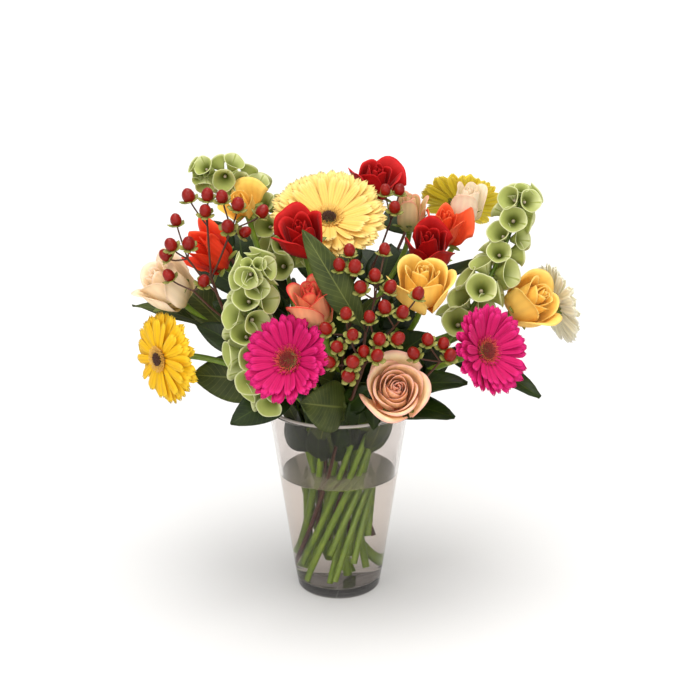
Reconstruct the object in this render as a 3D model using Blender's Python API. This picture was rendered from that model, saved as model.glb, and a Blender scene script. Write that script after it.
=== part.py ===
"""Mixed cut flowers standing in a clear tapered vase of water.

Six gerberas, thirteen roses, three spikes of bells of Ireland, four sprigs of
hypericum and three sprays of leaves. Metres, +Z up. The origin is the middle
of the vase's underside, and the front of the arrangement faces -Y.
"""

import math
from collections import namedtuple

import bmesh
import bpy
import numpy as np
from mathutils import Vector

# ---------------------------------------------------------------- the vase
VASE_HEIGHT = 0.200
RIM_RADIUS = 0.0714
FOOT_RADIUS = 0.043
GLASS_WALL = 0.003
GLASS_BASE = 0.010
FOOT_ROUNDING = 0.004
RIM_ROUNDING = 0.001
VASE_SIDES = 36

# ---------------------------------------------------------------- the water
WATER_LEVEL = 0.128
WATER_GAP = 0.0003  # to the glass
STEM_GAP = 0.0006  # between the water and each stem
SLEEVE_TOP = WATER_LEVEL + 0.025  # the holes for the stems are cut up to here

# ---------------------------------------------------------------- the stems
GERBERA_STEM = 0.0031  # radii
ROSE_STEM = 0.0028
BELLS_STEM = 0.0030
HYPERICUM_STEM = 0.0019
SPRAY_STEM = 0.0017
STEM_LIFT = 0.0025  # from the glass base to a cut end
STEM_SIDES = 6
SEAT_GAP = 0.0004  # between a stem's end and its bloom
NECK_INSET = 0.0224  # from the glass to the outer ring of stems, at the rim
FOOT_INSET = 0.0054  # the same, at the base

# Stems lean the same way round in three rings, so that they pass without crossing.
# share of the outer ring's radius at the rim and at the foot, stems, lean, first stem,
# and how high above the glass base each stem is cut
Ring = namedtuple("Ring", "neck foot count lean first cuts")
RINGS = {
    "outer": Ring(1.000, 1.000, 15, 110.0, -84.0, (
        0.000, 0.016, 0.000, 0.034, 0.006, 0.024, 0.050, 0.062,
        0.044, 0.058, 0.000, 0.030, 0.012, 0.000, 0.020)),
    "middle": Ring(0.578, 0.605, 10, 102.9, -79.8, (
        0.022, 0.048, 0.000, 0.030, 0.040, 0.010, 0.034, 0.000, 0.046, 0.026)),
    "inner": Ring(0.254, 0.290, 5, 99.7, -61.6, (0.036, 0.012, 0.044, 0.000, 0.028)),
}

# ---------------------------------------------------------------- the flowers
# place: across, back and above the rim. turn: which way the face looks, from the
# front towards +X. tilt: how far it looks up. Both in degrees.
Gerbera = namedtuple("Gerbera", "name place turn tilt width cup colour ring slot")
GERBERAS = (
    Gerbera("gerbera_cream", (-0.009, 0.004, 0.188), 3, 54, 0.114, 0.008, "cream", "inner", 3),
    Gerbera("gerbera_pink_left", (-0.045, -0.115, 0.081), -24, 28, 0.086, 0.009, "pink", "outer", 14),
    Gerbera("gerbera_pink_right", (0.142, -0.065, 0.074), 38, 24, 0.090, 0.010, "pink", "outer", 2),
    Gerbera("gerbera_yellow", (-0.175, -0.034, 0.056), -47, 2, 0.092, -0.010, "yellow", "outer", 12),
    Gerbera("gerbera_white", (0.220, 0.034, 0.093), 108, 14, 0.086, 0.004, "white", "outer", 5),
    Gerbera("gerbera_lime", (0.129, 0.118, 0.180), 168, 42, 0.088, 0.006, "lime", "outer", 6),
)
GERBERA_DEPTH = 0.014  # from the eye down to the stem
GERBERA_EYE = 0.011
CALYX_RADIUS = 0.0046
GERBERA_LOBES = 10
GERBERA_NOTCH = 0.90  # how far in the rim comes between two lobes
GERBERA_EDGE = 0.0016  # the rim's thickness

Rose = namedtuple("Rose", "name place turn tilt width length flare colour ring slot")
ROSES = (
    Rose("rose_cream", (-0.170, -0.016, 0.126), -58, 46, 0.052, 0.058, 0.95, "cream", "outer", 11),
    Rose("rose_coral", (-0.023, -0.096, 0.132), -18, 60, 0.042, 0.056, 0.80, "coral", "middle", 0),
    Rose("rose_peach", (0.054, -0.115, 0.052), 4, 34, 0.060, 0.048, 1.00, "peach", "outer", 1),
    Rose("rose_yellow_front", (0.080, -0.064, 0.142), 4, 62, 0.058, 0.056, 0.95, "yellow", "middle", 2),
    Rose("rose_yellow_right", (0.192, -0.010, 0.109), 48, 34, 0.054, 0.056, 0.90, "yellow", "outer", 4),
    Rose("rose_red_front", (-0.034, -0.061, 0.186), -20, 60, 0.048, 0.044, 1.10, "red", "inner", 4),
    Rose("rose_red_top", (0.038, 0.060, 0.215), 30, 68, 0.050, 0.042, 1.10, "red", "middle", 6),
    Rose("rose_red_centre", (0.088, 0.000, 0.162), -8, 63, 0.050, 0.050, 1.00, "red", "middle", 3),
    Rose("rose_orange_centre", (0.107, 0.045, 0.172), 20, 67, 0.042, 0.048, 1.00, "orange", "inner", 1),
    Rose("rose_orange_left", (-0.129, 0.000, 0.155), -60, 40, 0.042, 0.052, 1.00, "orange", "middle", 8),
    Rose("rose_yellow_back", (-0.097, 0.028, 0.199), -30, 50, 0.042, 0.036, 1.15, "yellow", "middle", 7),
    Rose("rose_white_bud", (0.132, 0.072, 0.192), 20, 70, 0.038, 0.046, 0.75, "ivory", "middle", 4),
    Rose("rose_cream_bud", (0.072, 0.060, 0.185), 0, 74, 0.034, 0.046, 0.75, "blush", "middle", 5),
)
ROSE_SIDES = 10
ROSE_NOTCH = 0.94
ROSE_BELLY = 0.55  # the share of its length at which a rose is at its place and full width
NECK_SETTLE = 0.004  # the straight end of a stem under its bloom

# A spike: the places its stem goes through, how far up it the bells start, and
# the widest and the last whorl's radius.
Spike = namedtuple("Spike", "name way start wide last ring slot")
SPIKES = (
    Spike(
        "bells_left_back",
        ((-0.046, 0.046, 0.080), (-0.060, 0.060, 0.150), (-0.084, 0.068, 0.196),
         (-0.112, 0.060, 0.221), (-0.140, 0.052, 0.222)),
        0.46, 0.024, 0.014, "outer", 10,
    ),
    Spike(
        "bells_left_front",
        ((-0.060, -0.058, 0.028), (-0.080, -0.072, 0.060), (-0.084, -0.078, 0.100),
         (-0.077, -0.085, 0.140), (-0.076, -0.098, 0.166)),
        0.24, 0.024, 0.017, "outer", 13,
    ),
    Spike(
        "bells_right",
        ((0.088, -0.014, 0.040), (0.118, -0.012, 0.082), (0.142, -0.010, 0.120),
         (0.163, 0.004, 0.160), (0.174, 0.004, 0.196), (0.178, 0.002, 0.212)),
        0.42, 0.025, 0.016, "outer", 3,
    ),
)
WHORL_SPACING = 0.021
WHORL_OPEN = 0.62  # the share of a whorl's spacing at which it is widest
WHORL_WAIST = 0.55  # and how wide it is just before the next, as a share

# A sprig: the places its stem goes through, then its clusters, each where the
# twig forks and where its berries are.
Sprig = namedtuple("Sprig", "name way clusters ring slot")
SPRIGS = (
    Sprig(
        "hypericum_left",
        ((-0.074, -0.030, 0.045), (-0.104, -0.032, 0.090), (-0.122, -0.038, 0.142)),
        (
            ((-0.123, -0.035, 0.188), ((-0.140, -0.035, 0.217), (-0.121, -0.045, 0.220),
                                       (-0.123, -0.050, 0.206))),
            ((-0.100, -0.040, 0.186), ((-0.107, -0.050, 0.219), (-0.092, -0.055, 0.213),
                                       (-0.102, -0.054, 0.192), (-0.087, -0.042, 0.184),
                                       (-0.071, -0.035, 0.202))),
            ((-0.142, -0.042, 0.158), ((-0.152, -0.040, 0.195), (-0.156, -0.052, 0.174),
                                       (-0.163, -0.040, 0.161), (-0.139, -0.055, 0.176))),
            ((-0.138, -0.045, 0.128), ((-0.160, -0.046, 0.143), (-0.126, -0.055, 0.140))),
        ),
        "middle", 9,
    ),
    Sprig(
        "hypericum_centre",
        ((0.014, -0.072, 0.030), (0.022, -0.090, 0.066), (0.026, -0.100, 0.104)),
        (
            ((0.013, -0.098, 0.150), ((0.011, -0.100, 0.180), (0.002, -0.106, 0.168),
                                      (0.016, -0.112, 0.168))),
            ((0.034, -0.100, 0.134), ((0.034, -0.105, 0.158), (0.021, -0.112, 0.149),
                                      (0.043, -0.088, 0.178), (0.048, -0.104, 0.147))),
            ((0.052, -0.107, 0.110), ((0.043, -0.115, 0.131), (0.059, -0.117, 0.127),
                                      (0.073, -0.112, 0.143))),
            ((0.010, -0.112, 0.104), ((0.008, -0.125, 0.128), (-0.010, -0.122, 0.113),
                                      (0.000, -0.132, 0.099), (0.014, -0.134, 0.111))),
            ((0.035, -0.112, 0.096), ((0.029, -0.122, 0.124), (0.038, -0.128, 0.105),
                                      (0.055, -0.120, 0.103))),
            ((0.026, -0.112, 0.078), ((0.024, -0.130, 0.094), (0.036, -0.136, 0.092),
                                      (0.014, -0.136, 0.086), (0.010, -0.134, 0.072),
                                      (-0.007, -0.130, 0.084))),
        ),
        "outer", 0,
    ),
    Sprig(
        "hypericum_right",
        ((0.058, -0.062, 0.026), (0.082, -0.078, 0.048)),
        (((0.096, -0.086, 0.070), ((0.083, -0.100, 0.096), (0.098, -0.096, 0.091),
                                   (0.104, -0.100, 0.081), (0.070, -0.104, 0.084))),),
        "middle", 1,
    ),
    Sprig(
        "hypericum_top",
        ((0.010, 0.018, 0.070), (0.036, 0.020, 0.140)),
        (((0.052, 0.020, 0.182), ((0.046, 0.016, 0.213), (0.060, 0.022, 0.212),
                                  (0.055, 0.006, 0.198))),),
        "inner", 2,
    ),
)
BERRY_RADIUS = 0.0054
BERRY_LENGTH = 0.0125
TWIG_RADIUS = 0.0010
STALK_RADIUS = 0.0008
TWIG_DROP = 0.035  # from a cluster's fork down to where its twig leaves the stem
TWIG_SAG = 0.003
BERRY_LIFT = Vector((0.0, -0.3, 0.8))  # how far a berry turns up from its stalk

# A leaf: the stem it grows on, how far up the stem's free part, its tip, its width.
Leaf = namedtuple("Leaf", "stem share tip width face")
UP = (0.0, -0.35, 0.94)
FRONT = (0.0, -0.95, 0.30)
LEAVES = (
    Leaf("hypericum_centre", 0.98, (-0.031, -0.092, 0.197), 0.024, FRONT),
    Leaf("hypericum_centre", 0.10, (-0.034, -0.116, 0.040), 0.040, FRONT),
    Leaf("hypericum_centre", 0.04, (-0.020, -0.084, 0.020), 0.022, FRONT),
    Leaf("rose_cream", 0.62, (-0.208, 0.030, 0.092), 0.016, UP),
    Leaf("rose_cream", 0.18, (-0.146, -0.004, 0.030), 0.040, FRONT),
    Leaf("rose_cream", 0.55, (-0.172, 0.034, 0.120), 0.034, UP),
    Leaf("hypericum_left", 0.22, (-0.104, -0.064, 0.000), 0.030, FRONT),
    Leaf("hypericum_left", 0.45, (-0.140, -0.010, 0.084), 0.030, UP),
    Leaf("rose_orange_left", 0.50, (-0.122, -0.022, 0.110), 0.028, FRONT),
    Leaf("rose_orange_left", 0.30, (-0.104, 0.034, 0.096), 0.030, UP),
    Leaf("rose_coral", 0.42, (-0.050, -0.066, 0.030), 0.020, FRONT),
    Leaf("rose_peach", 0.30, (0.112, -0.070, 0.008), 0.034, UP),
    Leaf("rose_peach", 0.34, (0.034, -0.092, 0.004), 0.014, FRONT),
    Leaf("hypericum_right", 0.35, (0.124, -0.062, 0.040), 0.034, UP),
    Leaf("rose_yellow_right", 0.45, (0.198, -0.034, 0.016), 0.032, UP),
    Leaf("rose_yellow_front", 0.36, (0.086, -0.060, 0.090), 0.034, FRONT),
    Leaf("rose_red_centre", 0.52, (0.058, -0.052, 0.124), 0.032, FRONT),
    Leaf("rose_red_front", 0.50, (0.012, -0.064, 0.118), 0.028, FRONT),
    Leaf("rose_cream_bud", 0.60, (0.056, 0.098, 0.140), 0.032, UP),
    Leaf("rose_white_bud", 0.50, (0.150, 0.020, 0.140), 0.030, UP),
    Leaf("rose_red_top", 0.60, (0.000, 0.096, 0.150), 0.034, UP),
)
LEAF_THICKNESS = 0.0009
LEAF_STALK = 0.0011
LEAF_BOW = 0.16  # the midrib's rise, as a share of the leaf's length
LEAF_KEEL = 0.12  # the fold along the midrib, as a share of half the width
# Where along a leaf its cross-sections are, and how wide each is as a share of the
# leaf's width. None stands for the stalk's own width.
LEAF_SECTIONS = ((0.0, None), (0.22, None), (0.42, 0.80), (0.64, 1.00), (0.84, 0.66), (1.0, None))

# A spray: the places its stem goes through, and the tips of its leaves.
Spray = namedtuple("Spray", "name way tips ring slot")
SPRAYS = (
    Spray(
        "leaves_back_right",
        ((0.030, 0.074, 0.050), (0.052, 0.098, 0.110), (0.070, 0.112, 0.150)),
        ((0.060, 0.130, 0.176), (0.086, 0.130, 0.120), (0.020, 0.120, 0.130), (0.070, 0.120, 0.060),
         (0.010, 0.105, 0.060), (0.076, 0.092, 0.010)),
        "outer", 7,
    ),
    Spray(
        "leaves_back",
        ((-0.018, 0.076, 0.050), (-0.014, 0.098, 0.100), (-0.012, 0.108, 0.150)),
        ((-0.014, 0.110, 0.200), (0.016, 0.128, 0.180), (-0.046, 0.122, 0.150), (0.020, 0.135, 0.085),
         (-0.050, 0.116, 0.060), (-0.006, 0.122, 0.016)),
        "outer", 8,
    ),
    Spray(
        "leaves_back_left",
        ((-0.056, 0.072, 0.044), (-0.092, 0.090, 0.090), (-0.116, 0.098, 0.130)),
        ((-0.142, 0.100, 0.164), (-0.108, 0.124, 0.154), (-0.152, 0.082, 0.120), (-0.084, 0.126, 0.090),
         (-0.128, 0.070, 0.060), (-0.096, 0.090, 0.010)),
        "outer", 9,
    ),
)
SPRAY_LEAF = 0.034  # the width of a spray's leaves
SPRAY_FIRST = 0.97  # how far up the stem the top leaf grows
SPRAY_SPAN = 0.85  # the share of the stem that bears leaves

COLOURS = {
    "glass": (0.85, 0.88, 0.90, 1.0),
    "water": (0.78, 0.82, 0.84, 1.0),
    "stem": (0.20, 0.33, 0.08, 1.0),
    "leaf": (0.07, 0.14, 0.04, 1.0),
    "bells": (0.42, 0.62, 0.20, 1.0),
    "berry": (0.50, 0.03, 0.02, 1.0),
    "cream": (0.95, 0.83, 0.50, 1.0),
    "pink": (0.78, 0.03, 0.28, 1.0),
    "yellow": (0.92, 0.62, 0.06, 1.0),
    "white": (0.88, 0.84, 0.70, 1.0),
    "lime": (0.62, 0.66, 0.10, 1.0),
    "coral": (0.86, 0.25, 0.18, 1.0),
    "peach": (0.93, 0.55, 0.38, 1.0),
    "red": (0.55, 0.01, 0.02, 1.0),
    "orange": (0.85, 0.12, 0.02, 1.0),
    "ivory": (0.92, 0.84, 0.70, 1.0),
    "blush": (0.80, 0.72, 0.50, 1.0),
}


# ---------------------------------------------------------------- small tools
def clear_scene():
    for thing in list(bpy.data.objects):
        bpy.data.objects.remove(thing, do_unlink=True)


def material(name, roughness=0.6):
    found = bpy.data.materials.get(name)
    if found:
        return found
    made = bpy.data.materials.new(name)
    made.use_nodes = True
    shader = made.node_tree.nodes["Principled BSDF"]
    shader.inputs["Base Color"].default_value = COLOURS[name]
    shader.inputs["Roughness"].default_value = roughness
    shader.inputs["Metallic"].default_value = 0.0
    return made


def add_object(name, points, faces, finish, roughness=0.6):
    mesh = bpy.data.meshes.new(name)
    mesh.from_pydata([tuple(p) for p in points], [], faces)
    shell = bmesh.new()
    shell.from_mesh(mesh)
    bmesh.ops.recalc_face_normals(shell, faces=shell.faces)
    shell.to_mesh(mesh)
    shell.free()
    mesh.materials.append(material(finish, roughness))
    thing = bpy.data.objects.new(name, mesh)
    bpy.context.scene.collection.objects.link(thing)
    return thing


def fuse(thing, shells):
    """Joins closed shells that overlap the object into its one surface."""
    cutter = add_object(thing.name + "_parts", *merged(shells), "leaf")
    join = thing.modifiers.new("join", "BOOLEAN")
    join.operation = "UNION"
    join.solver = "EXACT"
    join.use_self = True
    join.object = cutter
    settle(thing)
    bpy.data.objects.remove(cutter, do_unlink=True)


def settle(thing):
    """Turns the object's modifiers into plain mesh."""
    graph = bpy.context.evaluated_depsgraph_get()
    done = bpy.data.meshes.new_from_object(thing.evaluated_get(graph))
    thing.modifiers.clear()
    thing.data = done


def merged(shells):
    points, faces = [], []
    for shell_points, shell_faces in shells:
        start = len(points)
        points += list(shell_points)
        faces += [tuple(start + corner for corner in face) for face in shell_faces]
    return points, faces


def facing(turn, tilt):
    turn, tilt = math.radians(turn), math.radians(tilt)
    flat = math.cos(tilt)
    return Vector((math.sin(turn) * flat, -math.cos(turn) * flat, math.sin(tilt)))


def above_rim(place):
    return Vector((place[0], place[1], place[2] + VASE_HEIGHT))


def turned(profile, sides, reach=None):
    """A closed solid from (radius, height) pairs, whose first and last are on the axis.

    reach(ring, side) scales one corner, which gives a lobed outline.
    """
    points = [(0.0, 0.0, profile[0][1])]
    for ring, (radius, height) in enumerate(profile[1:-1]):
        for side in range(sides):
            angle = 2 * math.pi * side / sides
            size = radius * (reach(ring, side) if reach else 1.0)
            points.append((size * math.cos(angle), size * math.sin(angle), height))
    points.append((0.0, 0.0, profile[-1][1]))
    rings = len(profile) - 2
    faces = []
    for side in range(sides):
        after = (side + 1) % sides
        faces.append((0, 1 + after, 1 + side))
        for ring in range(rings - 1):
            low, high = 1 + ring * sides, 1 + (ring + 1) * sides
            faces.append((low + side, low + after, high + after, high + side))
        top = 1 + (rings - 1) * sides
        faces.append((top + side, top + after, len(points) - 1))
    return points, faces


def tube(way, radii, sides=STEM_SIDES):
    """A closed tube along the points, its frame carried along without twisting."""
    way = [Vector(p) for p in way]
    if not hasattr(radii, "__len__"):
        radii = [radii] * len(way)
    across = None
    points = []
    for index, here in enumerate(way):
        before, after = way[max(index - 1, 0)], way[min(index + 1, len(way) - 1)]
        along = (after - before).normalized()
        if across is None:
            across = along.orthogonal().normalized()
        across = (across - along * across.dot(along)).normalized()
        other = along.cross(across)
        for side in range(sides):
            angle = 2 * math.pi * side / sides
            spoke = across * math.cos(angle) + other * math.sin(angle)
            points.append(here + spoke * radii[index])
    faces = [tuple(reversed(range(sides))), tuple(range(len(points) - sides, len(points)))]
    for ring in range(len(way) - 1):
        low, high = ring * sides, (ring + 1) * sides
        for side in range(sides):
            after = (side + 1) % sides
            faces.append((low + side, low + after, high + after, high + side))
    return points, faces


def moved(shell, place, along):
    """The shell with its +Z turned to `along` and its origin at `place`."""
    turn = Vector((0, 0, 1)).rotation_difference(along)
    return [Vector(place) + turn @ Vector(p) for p in shell[0]], shell[1]


def bezier(a, b, c, d, count):
    steps = [i / (count - 1) for i in range(count)]
    return [a * (1 - t) ** 3 + b * 3 * t * (1 - t) ** 2 + c * 3 * t * t * (1 - t) + d * t**3 for t in steps]


def smooth_through(points, each):
    """A Catmull-Rom curve from the second point to the last but one."""
    out = []
    for a, b, c, d in zip(points, points[1:], points[2:], points[3:]):
        for i in range(each):
            t = i / each
            out.append(0.5 * (2 * b + (c - a) * t + (2 * a - 5 * b + 4 * c - d) * t**2
                              + (3 * b - a - 3 * c + d) * t**3))
    out.append(points[-2])
    return out


def lengths_along(course):
    """How far along the course each of its points is."""
    steps = np.linalg.norm(np.diff(np.array([tuple(p) for p in course]), axis=0), axis=1)
    return np.concatenate([[0.0], np.cumsum(steps)])


def evenly(way, count):
    """The same curve as `count` points at equal spacing."""
    way = np.array([tuple(p) for p in way])
    run = lengths_along(way)
    marks = np.linspace(0.0, run[-1], count)
    return np.stack([np.interp(marks, run, way[:, axis]) for axis in range(3)], axis=1)


def along_way(way, share):
    """The point at this share of the way's length."""
    way = np.array([tuple(p) for p in way])
    run = lengths_along(way)
    return Vector([np.interp(share * run[-1], run, way[:, axis]) for axis in range(3)])


# ---------------------------------------------------------------- the vase and its water
def glass_radius(height):
    """The inside of the glass at this height."""
    share = height / VASE_HEIGHT
    return FOOT_RADIUS + (RIM_RADIUS - FOOT_RADIUS) * share - GLASS_WALL


def make_vase():
    profile = [(0.0, 0.0), (FOOT_RADIUS - FOOT_ROUNDING, 0.0)]
    for angle in (-60, -30, 0):
        turn = math.radians(angle)
        profile.append((
            FOOT_RADIUS - FOOT_ROUNDING * (1 - math.cos(turn)),
            FOOT_ROUNDING * (1 + math.sin(turn)),
        ))
    profile += [
        (RIM_RADIUS - RIM_ROUNDING / 2, VASE_HEIGHT - RIM_ROUNDING),
        (RIM_RADIUS - GLASS_WALL / 2, VASE_HEIGHT),
        (glass_radius(VASE_HEIGHT), VASE_HEIGHT - RIM_ROUNDING),
        (glass_radius(GLASS_BASE), GLASS_BASE),
        (0.0, GLASS_BASE),
    ]
    add_object("vase", *turned(profile, VASE_SIDES), "glass", 0.05)


def make_water(stems):
    low, high = GLASS_BASE + WATER_GAP, WATER_LEVEL
    profile = [
        (0.0, low),
        (glass_radius(low) - WATER_GAP, low),
        (glass_radius(high) - WATER_GAP, high),
        (0.0, high),
    ]
    water = add_object("water", *turned(profile, VASE_SIDES), "water", 0.02)
    sleeves = []
    for foot, neck, radius in stems:
        along = (neck - foot).normalized()
        past = foot + along * (SLEEVE_TOP - foot.z) / along.z
        sleeves.append(tube((foot - along * STEM_GAP, past), radius + STEM_GAP))
    cutter = add_object("sleeves", *merged(sleeves), "water")
    cut = water.modifiers.new("stems", "BOOLEAN")
    cut.operation = "DIFFERENCE"
    cut.solver = "EXACT"
    cut.object = cutter
    settle(water)
    bpy.data.objects.remove(cutter, do_unlink=True)


# ---------------------------------------------------------------- how the stems stand
def slot(ring, number):
    """A stem's cut end, and where it passes the rim."""
    spec = RINGS[ring]
    neck_angle = math.radians(spec.first + 360.0 / spec.count * number)
    foot_angle = neck_angle - math.radians(spec.lean)
    neck = (glass_radius(VASE_HEIGHT) - NECK_INSET) * spec.neck
    foot = (glass_radius(GLASS_BASE) - FOOT_INSET) * spec.foot
    low = Vector((foot * math.cos(foot_angle), foot * math.sin(foot_angle), GLASS_BASE + STEM_LIFT))
    high = Vector((neck * math.cos(neck_angle), neck * math.sin(neck_angle), VASE_HEIGHT))
    return low.lerp(high, spec.cuts[number] / (high.z - low.z)), high


FREE_POINTS = 36  # along each stem, above the rim
REACH = 0.28  # how long a stem keeps the way it leaves the rim and meets the bloom


def free_part(foot, neck, way, end, along):
    """A stem's course from the rim to its end, before the stems are eased apart."""
    lean = (neck - foot).normalized()
    if way:
        through = [foot, neck] + [above_rim(p) for p in way]
        through.append(through[-1] * 2 - through[-2])
        return evenly(smooth_through(through, 10), FREE_POINTS)
    span = (end - neck).length * REACH
    return evenly(bezier(neck, neck + lean * span, end - along * span, end, 60), FREE_POINTS)


EASE_ROUNDS = 240
EASE_MARGIN = 0.0012  # the gap the stems are eased to
EASE_ENDS = 0.12  # the share of a stem at each end over which it is held more and more
EASE_STEP = 0.0025  # the furthest a point moves in one round
EASE_SMOOTHING = 0.30
STEM_PUSH = 0.5
BLOOM_PUSH = 0.6


def push_from(place, size, owner, centre, ball, ball_owner):
    """How far each point has to go to clear the spheres that aren't its own plant's."""
    gap = place[:, None, :] - centre[None, :, :]
    far = np.linalg.norm(gap, axis=2) + 1e-9
    short = size[:, None] + ball[None, :] + EASE_MARGIN - far
    short[owner[:, None] == ball_owner[None, :]] = 0.0
    short = np.clip(short, 0.0, None)
    return (gap / far[:, :, None] * short[:, :, None]).sum(axis=1)


def ease_apart(courses, radii, firm, blocks):
    """Moves the free parts sideways until no two stems, and no stem and bloom, touch.

    `firm` courses keep their place. `blocks` are spheres (centre, radius, owner), and a
    stem passes through its own.
    """
    names = list(courses)
    count = FREE_POINTS
    place = np.concatenate([courses[n] for n in names])
    size = np.concatenate([np.broadcast_to(radii[n], count) for n in names])
    owner = np.repeat(np.arange(len(names)), count)
    share = np.tile(np.linspace(0.0, 1.0, count), len(names))
    loose = np.clip(np.minimum(share, 1 - share) / EASE_ENDS, 0, 1)
    loose[np.isin(owner, [names.index(n) for n in firm])] = 0.0
    rest = place.copy()
    centre = np.array([tuple(b[0]) for b in blocks])
    ball = np.array([b[1] for b in blocks])
    block_owner = np.array([names.index(b[2]) for b in blocks])
    for _ in range(EASE_ROUNDS):
        push = push_from(place, size, owner, place, size, owner) * STEM_PUSH
        push += push_from(place, size, owner, centre, ball, block_owner) * BLOOM_PUSH
        length = np.linalg.norm(push, axis=1, keepdims=True) + 1e-12
        push *= np.minimum(1.0, EASE_STEP / length)
        place += push * loose[:, None]
        offset = (place - rest).reshape(len(names), count, 3)
        level = 0.5 * (offset[:, :-2] + offset[:, 2:])
        offset[:, 1:-1] += EASE_SMOOTHING * (level - offset[:, 1:-1])
        place = rest + offset.reshape(-1, 3) * (loose > 0)[:, None]
    return {n: place[i * count:(i + 1) * count] for i, n in enumerate(names)}


# ---------------------------------------------------------------- blooms
def gerbera_shell(flower):
    half = flower.width / 2
    profile = [
        (0.0, -GERBERA_DEPTH),
        (CALYX_RADIUS, -GERBERA_DEPTH),
        (GERBERA_EYE, -GERBERA_DEPTH * 0.45),
        (half, flower.cup - GERBERA_EDGE * 0.4),
        (half * 0.97, flower.cup + GERBERA_EDGE * 0.6),
        (GERBERA_EYE * 1.1, 0.0),
        (0.0, GERBERA_EYE * 0.2),
    ]

    def lobe(ring, side):
        return GERBERA_NOTCH if side % 2 and ring in (2, 3) else 1.0

    return turned(profile, GERBERA_LOBES * 2, lobe)


def rose_shell(flower):
    half, length, flare = flower.width / 2, flower.length, flower.flare
    profile = [
        (0.0, 0.0),
        (CALYX_RADIUS, 0.0),
        (0.30 * half, 0.06 * length),
        (0.74 * half, 0.22 * length),
        (1.00 * half, ROSE_BELLY * length),
        (flare * half, 0.90 * length),
        (flare * half * 0.80, 0.98 * length),
        (flare * half * 0.45, 0.90 * length),
        (0.0, 1.00 * length),
    ]

    def petal(ring, side):
        return ROSE_NOTCH if side % 2 and ring in (3, 4, 5) else 1.0

    return turned(profile, ROSE_SIDES, petal)


def berry_shell(place, along):
    half = BERRY_LENGTH / 2
    low, high = (BERRY_RADIUS * 0.92, -half * 0.45), (BERRY_RADIUS * 0.80, half * 0.5)
    profile = [(0.0, -half), low, high, (0.0, half)]
    return moved(turned(profile, 5), place, along)


# ---------------------------------------------------------------- assembly
def eye_of(flower):
    return above_rim(flower.place)


def seat_of(flower):
    """The middle of a bloom's underside and the way it faces."""
    along = facing(flower.turn, flower.tilt)
    if isinstance(flower, Gerbera):
        return eye_of(flower) - along * GERBERA_DEPTH, along
    return above_rim(flower.place) - along * (flower.length * ROSE_BELLY), along


def bloom_blocks(flower):
    """Spheres that fill the bloom, which other stems keep clear of."""
    seat, along = seat_of(flower)
    if isinstance(flower, Rose):
        half = flower.width / 2
        yield seat + along * flower.length * ROSE_BELLY, half * 0.98, flower.name
        yield seat + along * flower.length * 0.78, half * flower.flare * 0.95, flower.name
        yield seat + along * flower.length * 0.20, half * 0.60, flower.name
        return
    side = along.orthogonal().normalized()
    other = along.cross(side)
    eye = eye_of(flower)
    yield eye - along * 0.006, GERBERA_EYE, flower.name
    for ring in (0.5, 0.75, 1.0):
        radius = flower.width / 2 * ring
        for step in range(14):
            angle = 2 * math.pi * step / 14
            spoke = side * math.cos(angle) + other * math.sin(angle)
            lift = flower.cup * ring - 0.004 * (1 - ring)
            yield eye + spoke * radius + along * lift, 0.0045, flower.name


def spike_outline(spike, course):
    """Distances along the free part and the radius at each: bare stem, then whorls of bells."""
    total = lengths_along(course)[-1]
    start = total * spike.start
    whorls = max(int(round((total - start) / WHORL_SPACING)), 2)
    spacing = (total - start) / whorls
    marks, radii = [0.0, start], [BELLS_STEM, BELLS_STEM]
    for whorl in range(whorls):
        wide = spike.wide + (spike.last - spike.wide) * (whorl / (whorls - 1)) ** 2
        base = start + whorl * spacing
        marks += [base + spacing * WHORL_OPEN, base + spacing]
        radii += [wide, wide * WHORL_WAIST]
    return marks, radii


def fork_root(way, point, drop):
    """The place on the way that lies `drop` below the point."""
    shares = np.linspace(0.0, 0.98, 60)
    heights = np.array([along_way(way, share).z for share in shares])
    return along_way(way, shares[int(np.argmin(np.abs(heights - (point.z - drop))))])


def stem_courses():
    """Every stem's foot, neck and radius by plant, and the way its free part goes."""
    stems, courses = {}, {}
    for flower in GERBERAS + ROSES:
        foot, neck = slot(flower.ring, flower.slot)
        seat, along = seat_of(flower)
        stems[flower.name] = (foot, neck, GERBERA_STEM if isinstance(flower, Gerbera) else ROSE_STEM)
        courses[flower.name] = free_part(foot, neck, (), seat - along * SEAT_GAP, along)
    for plants, radius in ((SPIKES, BELLS_STEM), (SPRIGS, HYPERICUM_STEM), (SPRAYS, SPRAY_STEM)):
        for plant in plants:
            foot, neck = slot(plant.ring, plant.slot)
            stems[plant.name] = (foot, neck, radius)
            courses[plant.name] = free_part(foot, neck, plant.way, None, None)
    return stems, courses


def build_bouquet():
    """The stems, with their free parts clear of each other and of the blooms."""
    stems, courses = stem_courses()
    radii = {name: stem[2] for name, stem in stems.items()}
    for spike in SPIKES:
        marks, sizes = spike_outline(spike, courses[spike.name])
        run = lengths_along(courses[spike.name])
        radii[spike.name] = np.interp(run, marks, np.maximum.accumulate(sizes))
    blocks = [b for flower in GERBERAS + ROSES for b in bloom_blocks(flower)]
    for sprig in SPRIGS:
        for fork, berries in sprig.clusters:
            blocks += [(above_rim(p), BERRY_RADIUS * 1.1, sprig.name) for p in berries]
            blocks.append((above_rim(fork), TWIG_RADIUS * 2, sprig.name))
    firm = [plant.name for plant in SPIKES + SPRIGS + SPRAYS]
    return stems, ease_apart(courses, radii, firm, blocks)


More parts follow.
